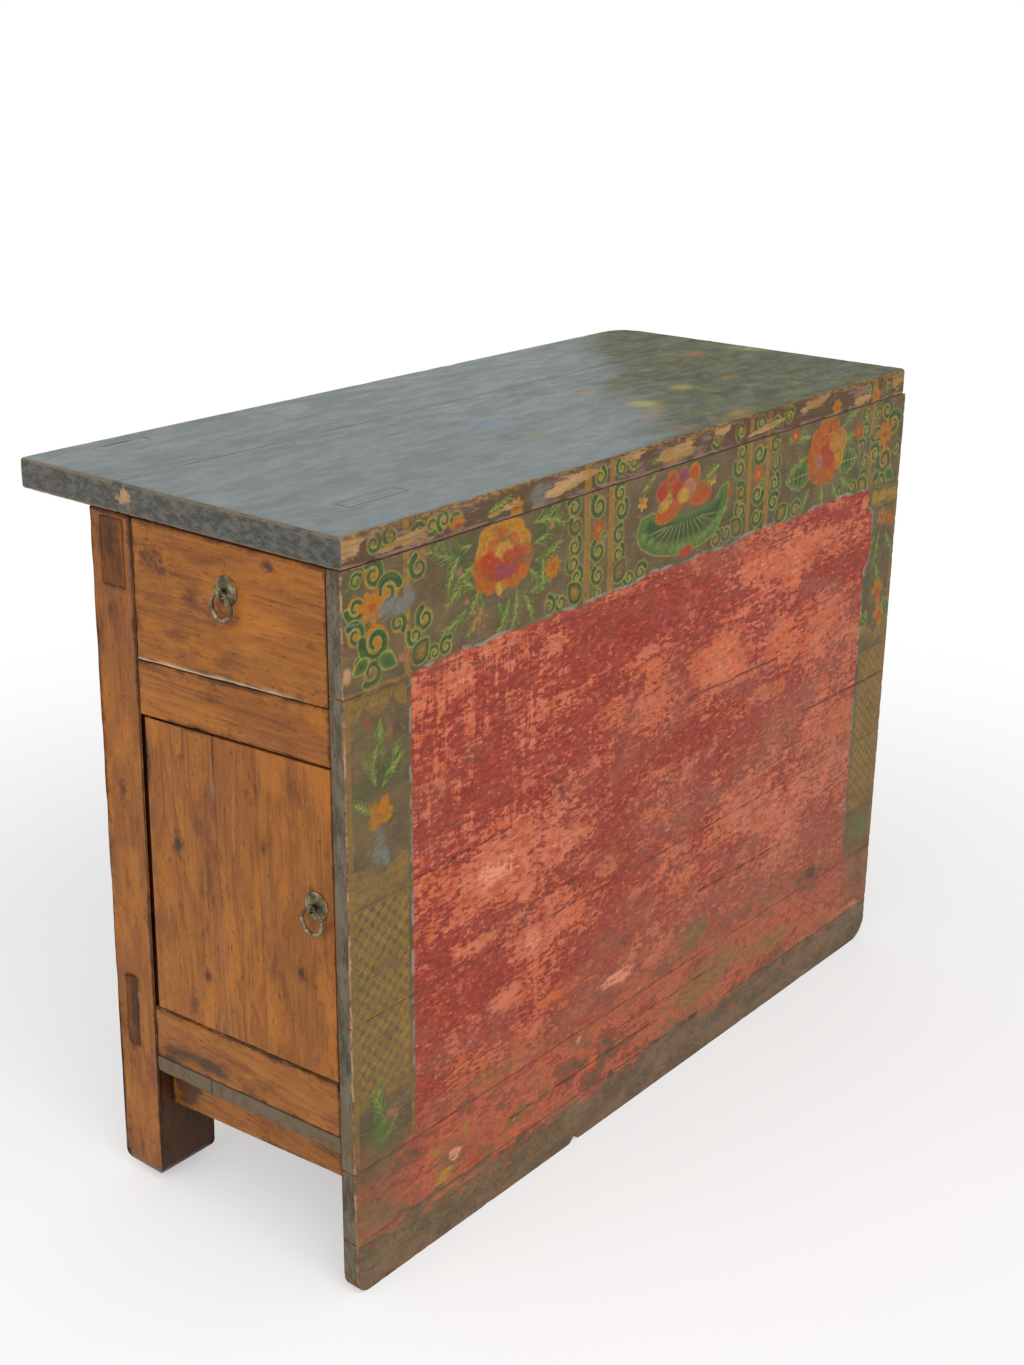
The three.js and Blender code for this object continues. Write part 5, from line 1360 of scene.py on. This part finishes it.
class CabinetFrontSettings(PropertyGroup):
    """Colours of the painted front."""

    step: length_of("Grid step", "Spacing of the points that carry the painting", 0.002)
    fine_step: length_of("Fine grid step", "Spacing on the board with the flowers", 0.0014)
    red_deep: colour_of("Deep red", "The red paint where it is thick and dark", 132, 46, 32)
    red: colour_of("Red", "The red paint", 156, 58, 40)
    dust: colour_of("Dust", "Dusty brown veil over the worn red", 150, 100, 74)
    salmon_dark: colour_of("Dark salmon", "The red paint half rubbed", 178, 80, 52)
    salmon: colour_of("Salmon", "The red paint rubbed thin", 198, 112, 82)
    salmon_pale: colour_of("Pale salmon", "The red paint rubbed almost away", 218, 140, 110)
    orange: colour_of("Orange", "Orange where the red has worn", 196, 94, 48)
    ground: colour_of("Border ground", "The border's olive brown ground", 106, 88, 57)
    ground_dark: colour_of("Dark ground", "The border's ground where it is dirty", 86, 70, 47)
    ground_gold: colour_of("Gold ground", "Dull gold between the lattice lines", 112, 88, 46)
    umber: colour_of("Umber", "Dirt and old varnish", 86, 58, 44)
    speck: colour_of("Border speck", "Pale wear in the border's ground", 124, 112, 90)
    leaf_dark: colour_of("Dark leaf green", "Scrolls and shaded leaves", 50, 72, 40)
    leaf: colour_of("Leaf green", "Leaves and scrolls", 80, 104, 46)
    leaf_bright: colour_of("Bright green", "Light leaves", 98, 128, 58)
    outline: colour_of("Outline", "Yellow green lines round the leaves", 146, 146, 68)
    gold: colour_of("Gold", "Frame lines and lattice", 148, 110, 42)
    gold_bright: colour_of("Bright gold", "Lattice where it is fresh", 164, 124, 40)
    petal: colour_of("Petal orange", "Orange petals", 168, 78, 22)
    petal_gold: colour_of("Petal gold", "Golden outer petals", 168, 106, 18)
    petal_red: colour_of("Petal red", "Red petals", 164, 52, 28)
    petal_magenta: colour_of("Petal magenta", "The deepest petals", 134, 62, 74)
    petal_pink: colour_of("Petal pink", "Pink petals", 160, 98, 78)
    petal_light: colour_of("Petal light", "Pale touches", 182, 136, 56)
    blue_smear: colour_of("Blue smear", "Faded blue grey touches", 112, 112, 106)
    blue_patch: colour_of("Blue patch", "The lighter inlaid patch of the top", 96, 113, 126)
    pale_line: colour_of("Pale line", "The pale line round the red field", 138, 134, 124)
    ochre_wear: colour_of("Worn ochre", "Ochre in the mixed lower band", 146, 108, 54)
    bare_wood: colour_of("Bare wood", "Wood where the paint has chipped off", 176, 136, 98)
    foot_wood: colour_of("Foot wood", "Scrubbed wood along the floor", 116, 98, 72)
    foot_dark: colour_of("Dark foot wood", "Dirty wood along the floor", 86, 76, 56)
    rose_grey: colour_of("Rose grey", "Old undercoat on the top's front edge", 134, 106, 96)
    crack: colour_of("Crack", "Open cracks and seams", 42, 30, 24)
    end_paint: colour_of("End paint", "Grey paint on the front's end", 112, 104, 88)
    end_paint_dark: colour_of("Dark end paint", "Dirt on the front's end", 76, 70, 58)


class CabinetTopSettings(PropertyGroup):
    """Colours of the plank top."""

    blue_grey: colour_of("Blue grey", "The top's lacquer", 102, 113, 112)
    blue_grey_dark: colour_of("Dark blue grey", "The lacquer's darker clouds", 92, 102, 101)
    streak: colour_of("Streak", "Streaks along the grain", 90, 97, 94)
    inlay: colour_of("Inlay", "The patches let into the top", 112, 127, 128)
    olive: colour_of("Olive", "The rubbed far end", 80, 84, 44)
    olive_dark: colour_of("Dark olive", "The rubbed far end's darker clouds", 58, 61, 34)
    speck: colour_of("Speck", "Pale specks", 150, 152, 142)
    bare_edge: colour_of("Bare edge", "Arrises rubbed to the wood", 150, 116, 62)
    end_grey: colour_of("End grey", "The end's grey paint", 92, 90, 84)
    end_dark: colour_of("End dark", "The end's dark grain", 62, 59, 54)


class CabinetWoodSettings(PropertyGroup):
    """Colours and wear of the wood."""

    honey_light: colour_of("Honey light", "The end's lightest wood", 158, 98, 38)
    honey: colour_of("Honey", "The end's wood", 138, 80, 28)
    honey_dark: colour_of("Honey dark", "The end's darkest grain", 100, 54, 22)
    # Grime also colours the painted shade on the legs' inner faces
    grime_and_shade: colour_of("Grime", "Old dirt in corners and pores", 56, 37, 25)
    stain: colour_of("Stain", "Plum brown stains in the end's wood", 104, 54, 30)
    glow: colour_of("Glow", "Golden oiled wood", 170, 104, 32)
    raw_light: colour_of("Raw light", "Unfinished wood", 144, 104, 68)
    raw_middle: colour_of("Raw wood", "Unfinished wood's rings", 116, 82, 52)
    raw_dark: colour_of("Raw dark", "Unfinished wood's dark grain", 86, 60, 38)
    raw_grime: colour_of("Raw grime", "Dirt on unfinished wood", 60, 44, 32)
    wear: length_of("Wear", "Wood lost at the arrises", 0.0009)


class CabinetMetalSettings(PropertyGroup):
    """Colours of the pulls."""

    bright: colour_of("Rubbed brass", "Where fingers rub the metal", 150, 138, 104)
    tarnish: colour_of("Tarnish", "Dull brown metal", 92, 80, 58)
    crust: colour_of("Crust", "Dark patches", 52, 46, 38)


class CabinetStageSettings(PropertyGroup):
    """The floor, the lamps and the camera."""

    floor: colour_of("Floor", "The pale floor", 248, 248, 248)
    sky: FloatProperty(name="Sky", description="Strength of the even light", default=0.62, min=0)
    key: lamp_of("Key lamp", "Power of the large lamp", 66)
    fill: lamp_of("Fill lamp", "Power of the lamp by the drawer end", 24)
    lens: FloatProperty(name="Lens", description="The camera's focal length", default=49.69, unit="CAMERA")


class CabinetSettings(PropertyGroup):
    """Everything that a user would change."""

    front: PointerProperty(type=CabinetFrontSettings)
    top: PointerProperty(type=CabinetTopSettings)
    wood: PointerProperty(type=CabinetWoodSettings)
    metal: PointerProperty(type=CabinetMetalSettings)
    stage: PointerProperty(type=CabinetStageSettings)


# Operators


def settings():
    return bpy.context.scene.painted_cabinet


def put_look(piece, look):
    piece.data.materials.clear()
    piece.data.materials.append(look)


def dress_node(node, look):
    """Gives a CAD node that stays a better material."""
    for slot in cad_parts[node].material_slots:
        slot.link = "OBJECT"
        slot.material = look


def worn(node, body, slot, look, grain, cell, **wear):
    """Puts a worn copy of a node on its body, with its look."""
    piece = worn_copy(node, grain, cell, settings().wood.wear / MM, **wear)
    put_look(piece, look)
    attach(piece, body)
    return piece


def honey_look():
    """The ends' oiled wood, made once."""
    wood, name = settings().wood, "honey wood"
    tones, ends = (wood.honey_light, wood.honey, wood.honey_dark), (wood.honey, wood.honey_dark)
    return bpy.data.materials.get(name) or old_wood(name, tones, wood.grime_and_shade, wood.stain, wood.glow, ends)


def raw_look(axis=None):
    """Unfinished wood, made once for each axis that its grain runs along."""
    wood = settings().wood
    name = "raw wood" + ("" if axis is None else " " + "xyz"[axis])
    tones, ends = (wood.raw_light, wood.raw_middle, wood.raw_dark), (wood.honey, wood.honey_dark)
    return bpy.data.materials.get(name) or old_wood(
        name, tones, wood.raw_grime, wood.raw_dark, wood.raw_light, ends, axis, shine=0.72, ring_scale=14
    )


class CABINET_OT_painted_front(Operator):
    """Make the painted front's worn boards"""

    bl_idname = "cabinet.painted_front"
    bl_label = "Painted front"

    def execute(self, context):
        front, wood = settings().front, settings().wood
        looks = [painted_front_look(front, wood), raw_look(0), front_edge_look(front)]
        for index in range(1, 6):
            step = front.fine_step if index == 5 else front.step
            worn_front_board(index, step / MM, looks)
        return {"FINISHED"}


class CABINET_OT_plank_top(Operator):
    """Make the worn planks of the top, and their patches"""

    bl_idname = "cabinet.plank_top"
    bl_label = "Plank top"

    def execute(self, context):
        look = plank_look(settings().top, settings().front)
        middle = from_frame((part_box("top_front_plank")[1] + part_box("top_rear_plank")[0]) / 2)[1]
        joint = ((1, middle),)
        plank, patch = ((7, 7, 6), 1.2, 0.0), ((5, 5, 8), 0.25, 0.6)
        for seed, (node, (cell, ease, inlaid), fine) in enumerate((
            ("top_front_plank", plank, (2, 2, 2)),
            ("top_rear_plank", plank, None),
            ("top_front_patch", patch, None),
            ("top_rear_patch", patch, None),
        ), start=3):
            wear = {"seed": seed, "ease": ease, "fine": fine, "tight": joint}
            piece = worn(node, "case", "grey_painted_wood", look, 0, cell, **wear)
            self.close_joint(piece.data, middle)
            self.keep_zones(piece.data, inlaid)
        for place in ("left", "middle", "right"):
            dress_node(f"top_key_{place}", raw_look(1))
        return {"FINISHED"}

    def close_joint(self, mesh, middle):
        """Lets the two planks meet almost flush, with only a hair line between them."""
        points = from_frame(points_of(mesh))
        near = (np.abs(points[:, 1] - middle) < 2.8) & (points[:, 2] > TOP - 5)
        points[near, 2] = np.maximum(points[near, 2], points[:, 2].max() - 0.25)
        set_points(mesh, to_frame(points))
        arris = np.zeros(len(points))
        mesh.attributes["arris"].data.foreach_get("value", arris)
        arris[near] = 0
        mesh.attributes["arris"].data.foreach_set("value", arris)

    def keep_zones(self, mesh, inlaid):
        """Keeps where the top is olive, its front edge, its ends, its bare places and its touches of paint."""
        spots = from_frame(points_of(mesh))
        x, y, z = spots.T
        ragged = 70 * rough_noise(spots, 120, 4, 4)
        olive = step_up(x - 500 - y + ragged, -170, 220) * step_up(z, TOP - 10, TOP - 2)
        edge = step_up(y, 2.2, 0.8) * step_up(x, 1.0, 3.0)
        far_end, rear_edge = step_up(x, x.max() - 3.2, x.max() - 1.6), step_up(y, DEPTH - 3, DEPTH - 1)
        end = np.maximum.reduce([step_up(x, 3.2, 1.6), far_end, rear_edge])
        keep_colour(mesh, "zones", np.column_stack([olive, edge, end, np.ones_like(x)]))
        waver = 3.0 * rough_noise(spots * [1, 0, 0], 26, 4, 12)
        keep(mesh, "front_side", step_up(y + waver, 4.5, 1.5) * step_up(z, TOP - 8, TOP - 2) * (1 - end))
        self.keep_worn_places(mesh, x, y, z, end)
        front = settings().front
        side = Painting(x, z, front)
        for left, right in FRAME_LINES:
            side.block(left, right, 820, 870, front.gold, 0.85)
        scrolls = (
            46, 70, 112, 130, 148, 165, 300, 352, 408, 447, 470, 640, 690, 735, 772, 800, 1000, 1050, 1078
        )
        for index, place in enumerate(scrolls):
            side.curl(place, 844 + 3 * math.sin(index * 2.1), 13, 1.1 + index * 0.8, 1 if index % 2 else -1)
        for place in (169, 262, 545, 918, 975, 1020):
            side.star(place, 836, 12, 7, front.petal_gold, front.petal)
        side.dab(117, 839, 8, 5, front.petal_pink)
        for left in range(-10, 1120, 60):
            line = [(left, 829 + 1.5 * math.sin(left)), (left + 46, 829 + 1.5 * math.cos(left))]
            side.stroke(line, 5, front.rose_grey, 2, strength=0.7)
        side.spray(215, 840, 0.1, 34, 5)
        side.spray(545, 842, 3.1, 34, 5)
        side.dab(309, 842, 26, 11, front.blue_smear, soft=8, strength=0.9)
        flat = Painting(x, y, front)
        for place, depth, wide, tall, colour in (
            (678, 138, 20, 18, front.outline), (658, 104, 16, 8, front.gold_bright),
            (681, 226, 11, 9, front.bare_wood), (795, 160, 18, 14, front.outline),
            (885, 150, 18, 7, front.gold_bright), (710, 20, 24, 9, front.gold_bright),
            (618, 93, 14, 10, front.rose_grey), (596, 20, 14, 6, front.petal_red),
            (1000, 280, 22, 10, front.dust), (1085, 250, 14, 30, front.outline),
            (466, 205, 30, 26, front.blue_patch), (448, 122, 12, 5, front.outline),
        ):
            flat.dab(place, depth, 1.4 * wide, 1.4 * tall, colour, 0.25, soft=16, strength=0.7)
        flat.lay(np.arange(len(x)), np.full(len(x), inlaid), settings().top.inlay)
        facing = (z > TOP - 4) & (y > 3)
        colour = np.where(facing[:, None], flat.colour, side.colour)
        cover = np.where(facing, flat.cover, side.cover * edge)
        keep_colour(mesh, "ornament", np.column_stack([colour, cover]))

    def keep_worn_places(self, mesh, x, y, z, end):
        """Where the front edge and the end are worn to the wood."""
        bared = np.zeros_like(x)
        for left, right, low, high in (
            (-20, 34, 826, 866), (34, 125, 828, 838), (208, 280, 830, 842), (308, 402, 832, 848),
            (440, 500, 842, 860), (515, 600, 830, 849), (630, 668, 844, 860), (690, 800, 828, 838),
            (820, 900, 840, 856), (960, 1010, 826, 840), (1060, 1120, 834, 866),
        ):
            across = (x - (left + right) / 2) / ((right - left) / 2)
            up = (z - (low + high) / 2 - 0.1 * (x - left)) / ((high - low) / 2)
            bared = np.maximum(bared, 0.62 * np.exp(-(across**4) - up**2))
        keep(mesh, "bared", bared)
        keep(mesh, "end_bare", spots_at(y, z, ((310, 846, 18, 11, 0.5),)) * end)


def stain(piece, name, places, base=0.0):
    """Keeps how strongly each point is stained: rows of Y, Z, reach along each, and strength."""
    _, y, z = from_frame(points_of(piece.data)).T
    keep(piece.data, name, base + spots_at(y, z, places))


class CABINET_OT_legs(Operator):
    """Make the two worn rear legs"""

    bl_idname = "cabinet.legs"
    bl_label = "Rear legs"

    def execute(self, context):
        knots = (((0, 345, 717), 5), ((0, 345, 505), 5), ((0, 330, 620), 3))
        for seed, node in enumerate(("rear_left_leg", "rear_right_leg")):
            wear = {"seed": seed + 11, "ease": 1.4, "foot": 26, "knots": knots if seed == 0 else ()}
            piece = worn(node, "case", "honey_wood", honey_look(), 2, (12, 11, 9), **wear)
            self.round_foot(piece.data)
            self.keep_soot_and_shade(piece)
        return {"FINISHED"}

    def round_foot(self, mesh, radius=24.0):
        """Rounds the foot's lower corners, front and rear."""
        points = from_frame(points_of(mesh))
        low = points[:, 2] < radius
        front, rear = points[low, 1].min(), points[low, 1].max()
        middle, half = (front + rear) / 2, (rear - front) / 2
        inset = radius - np.sqrt(radius**2 - np.clip(radius - points[:, 2], 0, radius) ** 2)
        points[:, 1] = middle + (points[:, 1] - middle) * (half - inset) / half
        set_points(mesh, to_frame(points))

    def keep_soot_and_shade(self, piece):
        """Painted shade: the leg's inner face is darkened under the rail. The leg also gets darker towards its
        foot.
        """
        points, normals = from_frame(points_of(piece.data)), normals_of(piece.data)
        # Painted shade on the inner face below the rail
        inner = 0.75 * step_up(-normals[:, 1], 0.3, 0.7) * step_up(points[:, 2], 215, 170)
        foot = 0.3 * step_up(points[:, 2], 190, 10)
        places = ((343, 790, 22, 46, 0.45), (349, 232, 13, 56, 0.4), (322, 400, 6, 190, 0.3))
        keep(piece.data, "soot", inner + foot + spots_at(points[:, 1], points[:, 2], places))


class CABINET_OT_end_frames(Operator):
    """Make the rails, aprons and boards of both ends"""

    bl_idname = "cabinet.end_frames"
    bl_label = "End frames"

    def execute(self, context):
        for seed, node in enumerate(
            ("drawer_rail", "left_bottom_rail", "left_apron", "right_bottom_rail", "right_apron")
        ):
            piece = worn(node, "case", "honey_wood", honey_look(), 1, (10, 5, 5), seed=seed + 21)
            stain(piece, "soot", (
                (150, 652, 120, 7, 0.25), (60, 610, 70, 12, 0.25), (230, 200, 60, 12, 0.5),
                (120, 236, 90, 8, 0.2), (290, 150, 26, 40, 0.75), (60, 150, 34, 10, 0.35),
            ), 0.04)
        for index in range(1, 4):
            worn(f"right_end_board_{index}", "case", "honey_wood", honey_look(), 2, (9, 9, 9), seed=index + 31)
        return {"FINISHED"}


class CABINET_OT_drawer(Operator):
    """Make the drawer's worn front and finish its box"""

    bl_idname = "cabinet.drawer"
    bl_label = "Drawer"

    def execute(self, context):
        knots = (((0, 279, 787), 7), ((0, 258, 776), 5), ((0, 268, 795), 4), ((0, 97, 812), 4))
        front = worn("drawer_front", "drawer", "honey_wood", honey_look(), 1, (9, 4, 4), seed=41, knots=knots)
        stain(front, "soot", (
            (216, 756, 20, 12, 0.36), (228, 735, 26, 9, 0.24), (215, 800, 22, 14, 0.25),
            (262, 786, 12, 14, 0.3), (180, 812, 40, 8, 0.2), (97, 812, 5, 4, 0.6), (165, 770, 26, 22, 0.2),
        ))
        x, y, z = from_frame(points_of(front.data)).T
        # A pale line along the sloping lower edge: a painted highlight, fading out towards the painted front
        edge = z - z.min() - self.edge_rise(y, z)
        keep(front.data, "raw_line", 0.85 * step_up(edge, 2.6, 1.2) * step_up(y, 20, 120) * step_up(x, 6, 3))
        for node, axis in (
            ("drawer_front_side", 0), ("drawer_rear_side", 0), ("drawer_back", 1), ("drawer_bottom", 0),
        ):
            dress_node(node, raw_look(axis))
        return {"FINISHED"}

    def edge_rise(self, y, z):
        """How far the sloping lower edge stands above the drawer front's lowest corner, at each point."""
        front_end, rear_end = z[y < y.min() + 3].min(), z[y > y.max() - 3].min()
        share = (y - y.min()) / (y.max() - y.min())
        return front_end + share * (rear_end - front_end) - z.min()


class CABINET_OT_door(Operator):
    """Make the door's worn boards and finish its battens"""

    bl_idname = "cabinet.door"
    bl_label = "Door"

    def execute(self, context):
        knots = (
            ((0, 257, 467), 6), ((0, 245, 270), 5), ((0, 220, 317), 4), ((0, 71, 375), 5), ((0, 122, 502), 3),
            ((0, 130, 565), 3),
        )
        names = ("door_edge_board", "door_middle_board", "door_hinge_board")
        seams = tuple(
            (1, from_frame((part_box(near)[1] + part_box(far)[0]) / 2)[1]) for near, far in zip(names, names[1:])
        )
        for seed, node in enumerate(names):
            piece = worn(
                node, "door", "honey_wood", honey_look(), 2, (9, 4, 5),
                seed=seed + 51, knots=knots, ease=0.4, dirt=0.4, tight=seams,
            )
            stain(piece, "soot", (
                (48, 462, 27, 32, 0.35), (193, 590, 1.6, 30, 0.6), (300, 556, 6, 36, 0.7),
                (257, 465, 9, 14, 0.45), (238, 285, 22, 18, 0.25), (71, 375, 6, 6, 0.6),
                (150, 225, 120, 14, 0.3), (130, 330, 5, 60, 0.2), (240, 610, 40, 9, 0.3),
            ))
            stain(piece, "haze", (
                (197, 548, 12, 20, 0.45), (168, 400, 30, 44, 0.22), (196, 470, 8, 60, 0.25),
                (250, 290, 16, 18, 0.2),
            ))
        for place in ("lower", "upper"):
            dress_node(f"door_{place}_batten", raw_look(1))
        return {"FINISHED"}


class CABINET_OT_inner_woodwork(Operator):
    """Finish the posts, rails, floor, back and runners"""

    bl_idname = "cabinet.inner_woodwork"
    bl_label = "Inner woodwork"

    def execute(self, context):
        for seed, node in enumerate(("floor_front_board", "floor_rear_board")):
            board = worn(node, "case", "raw_wood", raw_look(), 0, (16, 9, 7), seed=seed + 61)
            ends = step_up(from_frame(points_of(board.data))[:, 0], 12, 4)
            keep(board.data, "soot", 0.42 * ends)
            keep(board.data, "haze", 0.5 * ends)
        for seed, node in enumerate(("rear_top_rail", "rear_bottom_rail")):
            rail = worn(node, "case", "raw_wood", raw_look(), 0, (16, 4, 6), seed=seed + 65, ease=0.2, dirt=0.1)
            stain(rail, "soot", ((338, 800, 14, 40, 0.5), (348, 232, 13, 50, 0.5)))
        for index in range(1, 5):
            worn(f"back_board_{index}", "case", "raw_wood", raw_look(), 2, (12, 12, 14), seed=index + 71)
        for axis, names in (
            (2, ("front_left_post", "front_right_post", "front_middle_post", "rear_middle_post")),
            (1, ("floor_batten", "right_upper_rail", "right_middle_rail", "drawer_bearer")),
            (0, ("drawer_front_runner", "drawer_rear_runner", "drawer_front_guide", "drawer_rear_guide")),
        ):
            for node in names:
                dress_node(node, raw_look(axis))
        return {"FINISHED"}


class CABINET_OT_ring_pulls(Operator):
    """Make the smooth plates, split pins and rings of the two pulls"""

    bl_idname = "cabinet.ring_pulls"
    bl_label = "Ring pulls"

    def execute(self, context):
        look = brass_look(settings().metal)
        for name in ("drawer", "door"):
            self.ring(name, look)
            self.plate(name, look)
            self.pin(name, look)
        return {"FINISHED"}

    def ring(self, name, look):
        node = f"{name}_pull_ring"
        low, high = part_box(node)
        middle, wire = (low + high) / 2, (high.x - low.x) / 2
        radius = (high.z - low.z) / 2 - wire
        around, section = 96, 20
        turn = np.arange(around) * 2 * PI / around
        spin = np.arange(section) * 2 * PI / section
        # Thinner at the top, where years in the pin's loop have worn it
        wire = wire * (0.93 + 0.3 * step_up(-np.sin(turn), -0.75, 0.1) + 0.03 * np.cos(3 * turn + 0.4))[:, None]
        reach = radius + wire * np.cos(spin)
        across = [wire * np.sin(spin), reach * np.cos(turn)[:, None], reach * np.sin(turn)[:, None]]
        self.skin(node, np.stack(across, axis=-1) + middle, look, f"{name}_ring")

    def plate(self, name, look):
        """A domed plate with a turned bead and a rolled rim."""
        node = f"{name}_pull_plate"
        low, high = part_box(node)
        middle = (low + high) / 2
        radius, rise = (high.z - low.z) / 2, high.x - low.x
        # Shares of the radius and of the rise, from the hole's rear edge round to its front edge
        share, height = np.array((
            (0.19, 0.0), (0.97, 0.0), (1.0, 0.1), (1.0, 0.28), (0.97, 0.4), (0.9, 0.46), (0.86, 0.42),
            (0.8, 0.5), (0.66, 0.66), (0.5, 0.82), (0.42, 0.88), (0.38, 0.84), (0.33, 0.93), (0.22, 1.0),
            (0.19, 0.96),
        )).T
        turn = np.arange(72)[:, None] * 2 * PI / 72
        outward, reach = high.x - height * rise + 0 * turn, share * radius
        points = np.stack([outward, reach * np.cos(turn), reach * np.sin(turn)], axis=-1)
        self.skin(node, points + (0, middle.y, middle.z), look, name)

    def pin(self, name, look):
        node = f"{name}_pull_pin"
        shape = joined_shape(node)
        bmesh.ops.subdivide_edges(shape, edges=shape.edges, cuts=1, smooth=0.6, use_grid_fill=True)
        mesh = bpy.data.meshes.new(node)
        shape.to_mesh(mesh)
        shape.free()
        self.place(node, mesh, look, name)

    def skin(self, node, points, look, body):
        """Closes a grid of points on itself both ways."""
        around, section = points.shape[:2]
        corner = np.arange(around * section).reshape(around, section)
        after, beside = np.roll(corner, -1, axis=0), np.roll(corner, -1, axis=1)
        quads = np.stack([corner, after, np.roll(after, -1, axis=1), beside], axis=-1)
        mesh = bpy.data.meshes.new(node)
        mesh.from_pydata(points.reshape(-1, 3).tolist(), [], quads.reshape(-1, 4).tolist())
        shape = bmesh.new()
        shape.from_mesh(mesh)
        bmesh.ops.recalc_face_normals(shape, faces=shape.faces)
        shape.to_mesh(mesh)
        shape.free()
        self.place(node, mesh, look, body)

    def place(self, node, mesh, look, body):
        mesh.shade_smooth()
        piece = link(node + "_smooth", mesh)
        put_look(piece, look)
        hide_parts(node)
        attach(piece, body)


# The photograph's camera, from the cabinet's corner in metres, and its turn in radians
CAMERA_PLACE = (-1.2120, -1.1965, 1.3464)
CAMERA_YAW, CAMERA_PITCH, CAMERA_ROLL = 0.8873, 0.3552, 0.0086


class CABINET_OT_stage(Operator):
    """Set the pale floor, the soft lamps and the camera"""

    bl_idname = "cabinet.stage"
    bl_label = "Stage"

    def execute(self, context):
        stage = settings().stage
        scene = context.scene
        scene.view_settings.view_transform = "Standard"
        self.world(scene, stage)
        self.floor(stage)
        self.lamp("key", stage.key, 2.6, (-1.3, -2.6, 2.9), (0.0, 0.0, 0.45))
        self.lamp("fill", stage.fill, 2.2, (-3.0, 0.2, 1.6), (-0.4, 0.0, 0.45))
        camera = bpy.data.cameras.new("camera")
        camera.lens, camera.sensor_width = stage.lens, 36
        camera.clip_end = 200
        seen = bpy.data.objects.new("camera", camera)
        scene.collection.objects.link(seen)
        ahead = Vector((
            math.sin(CAMERA_YAW) * math.cos(CAMERA_PITCH),
            math.cos(CAMERA_YAW) * math.cos(CAMERA_PITCH),
            -math.sin(CAMERA_PITCH),
        ))
        right = Vector((math.cos(CAMERA_YAW), -math.sin(CAMERA_YAW), 0))
        up = right.cross(ahead)
        rolled = right * math.cos(CAMERA_ROLL) + up * math.sin(CAMERA_ROLL)
        up = up * math.cos(CAMERA_ROLL) - right * math.sin(CAMERA_ROLL)
        turned = Matrix((rolled, up, -ahead)).transposed().to_4x4()
        place = Vector(CAMERA_PLACE) + Vector((CORNER.x, CORNER.y, 0))
        seen.matrix_world = Matrix.Translation(place) @ turned
        scene.camera = seen
        return {"FINISHED"}

    def world(self, scene, stage):
        """Even light on the cabinet, and plain white where the camera or a reflection sees past it."""
        shade = Shade(bpy.data.worlds.new("studio"))
        light = shade.node("Background", {"Color": WHITE, "Strength": stage.sky}, "Background")
        white = shade.node("Background", {"Color": WHITE}, "Background")
        mixed = shade.node("MixShader", {0: shade.seen(), 1: light, 2: white}, "Shader")
        shade.node("OutputWorld", {"Surface": mixed})
        scene.world = shade.owner

    def floor(self, stage):
        reach = 60  # metres each way
        mesh = bpy.data.meshes.new("floor")
        corners = [(x * reach, y * reach, 0) for x, y in ((-1, -1), (1, -1), (1, 1), (-1, 1))]
        mesh.from_pydata(corners, [], [(0, 1, 2, 3)])
        mesh.materials.append(floor_look(stage))
        link("floor", mesh)

    def lamp(self, name, power, size, place, aim):
        lamp = bpy.data.lights.new(name, "AREA")
        lamp.energy, lamp.size = power, size
        seen = bpy.data.objects.new(name, lamp)
        bpy.context.scene.collection.objects.link(seen)
        seen.location = place
        seen.rotation_euler = (Vector(aim) - Vector(place)).to_track_quat("-Z", "Y").to_euler()


class CABINET_PT_panel(Panel):
    """Lists the cabinet's pieces and the settings that they use"""

    bl_label = "Painted side cabinet"
    bl_idname = "CABINET_PT_panel"
    bl_space_type = "VIEW_3D"
    bl_region_type = "UI"
    bl_category = "Cabinet"

    def draw(self, context):
        for operator in OPERATORS:
            self.layout.operator(operator.bl_idname)
        for group in ("front", "top", "wood", "metal", "stage"):
            box = self.layout.box()
            box.label(text=group.capitalize())
            owner = getattr(context.scene.painted_cabinet, group)
            for name in owner.__annotations__:
                box.prop(owner, name)


SETTINGS = (
    CabinetFrontSettings,
    CabinetTopSettings,
    CabinetWoodSettings,
    CabinetMetalSettings,
    CabinetStageSettings,
    CabinetSettings,
)
OPERATORS = (
    CABINET_OT_painted_front,
    CABINET_OT_plank_top,
    CABINET_OT_legs,
    CABINET_OT_end_frames,
    CABINET_OT_drawer,
    CABINET_OT_door,
    CABINET_OT_inner_woodwork,
    CABINET_OT_ring_pulls,
    CABINET_OT_stage,
)
CLASSES = (*SETTINGS, *OPERATORS, CABINET_PT_panel)


def register():
    for kind in CLASSES:
        bpy.utils.register_class(kind)
    bpy.types.Scene.painted_cabinet = PointerProperty(type=CabinetSettings)


def unregister():
    del bpy.types.Scene.painted_cabinet
    for kind in reversed(CLASSES):
        bpy.utils.unregister_class(kind)


def main():
    register()
    bpy.ops.cabinet.painted_front()
    bpy.ops.cabinet.plank_top()
    bpy.ops.cabinet.legs()
    bpy.ops.cabinet.end_frames()
    bpy.ops.cabinet.drawer()
    bpy.ops.cabinet.door()
    bpy.ops.cabinet.inner_woodwork()
    bpy.ops.cabinet.ring_pulls()
    bpy.ops.cabinet.stage()
    bpy.context.view_layer.update()


if __name__ == "__main__":
    main()
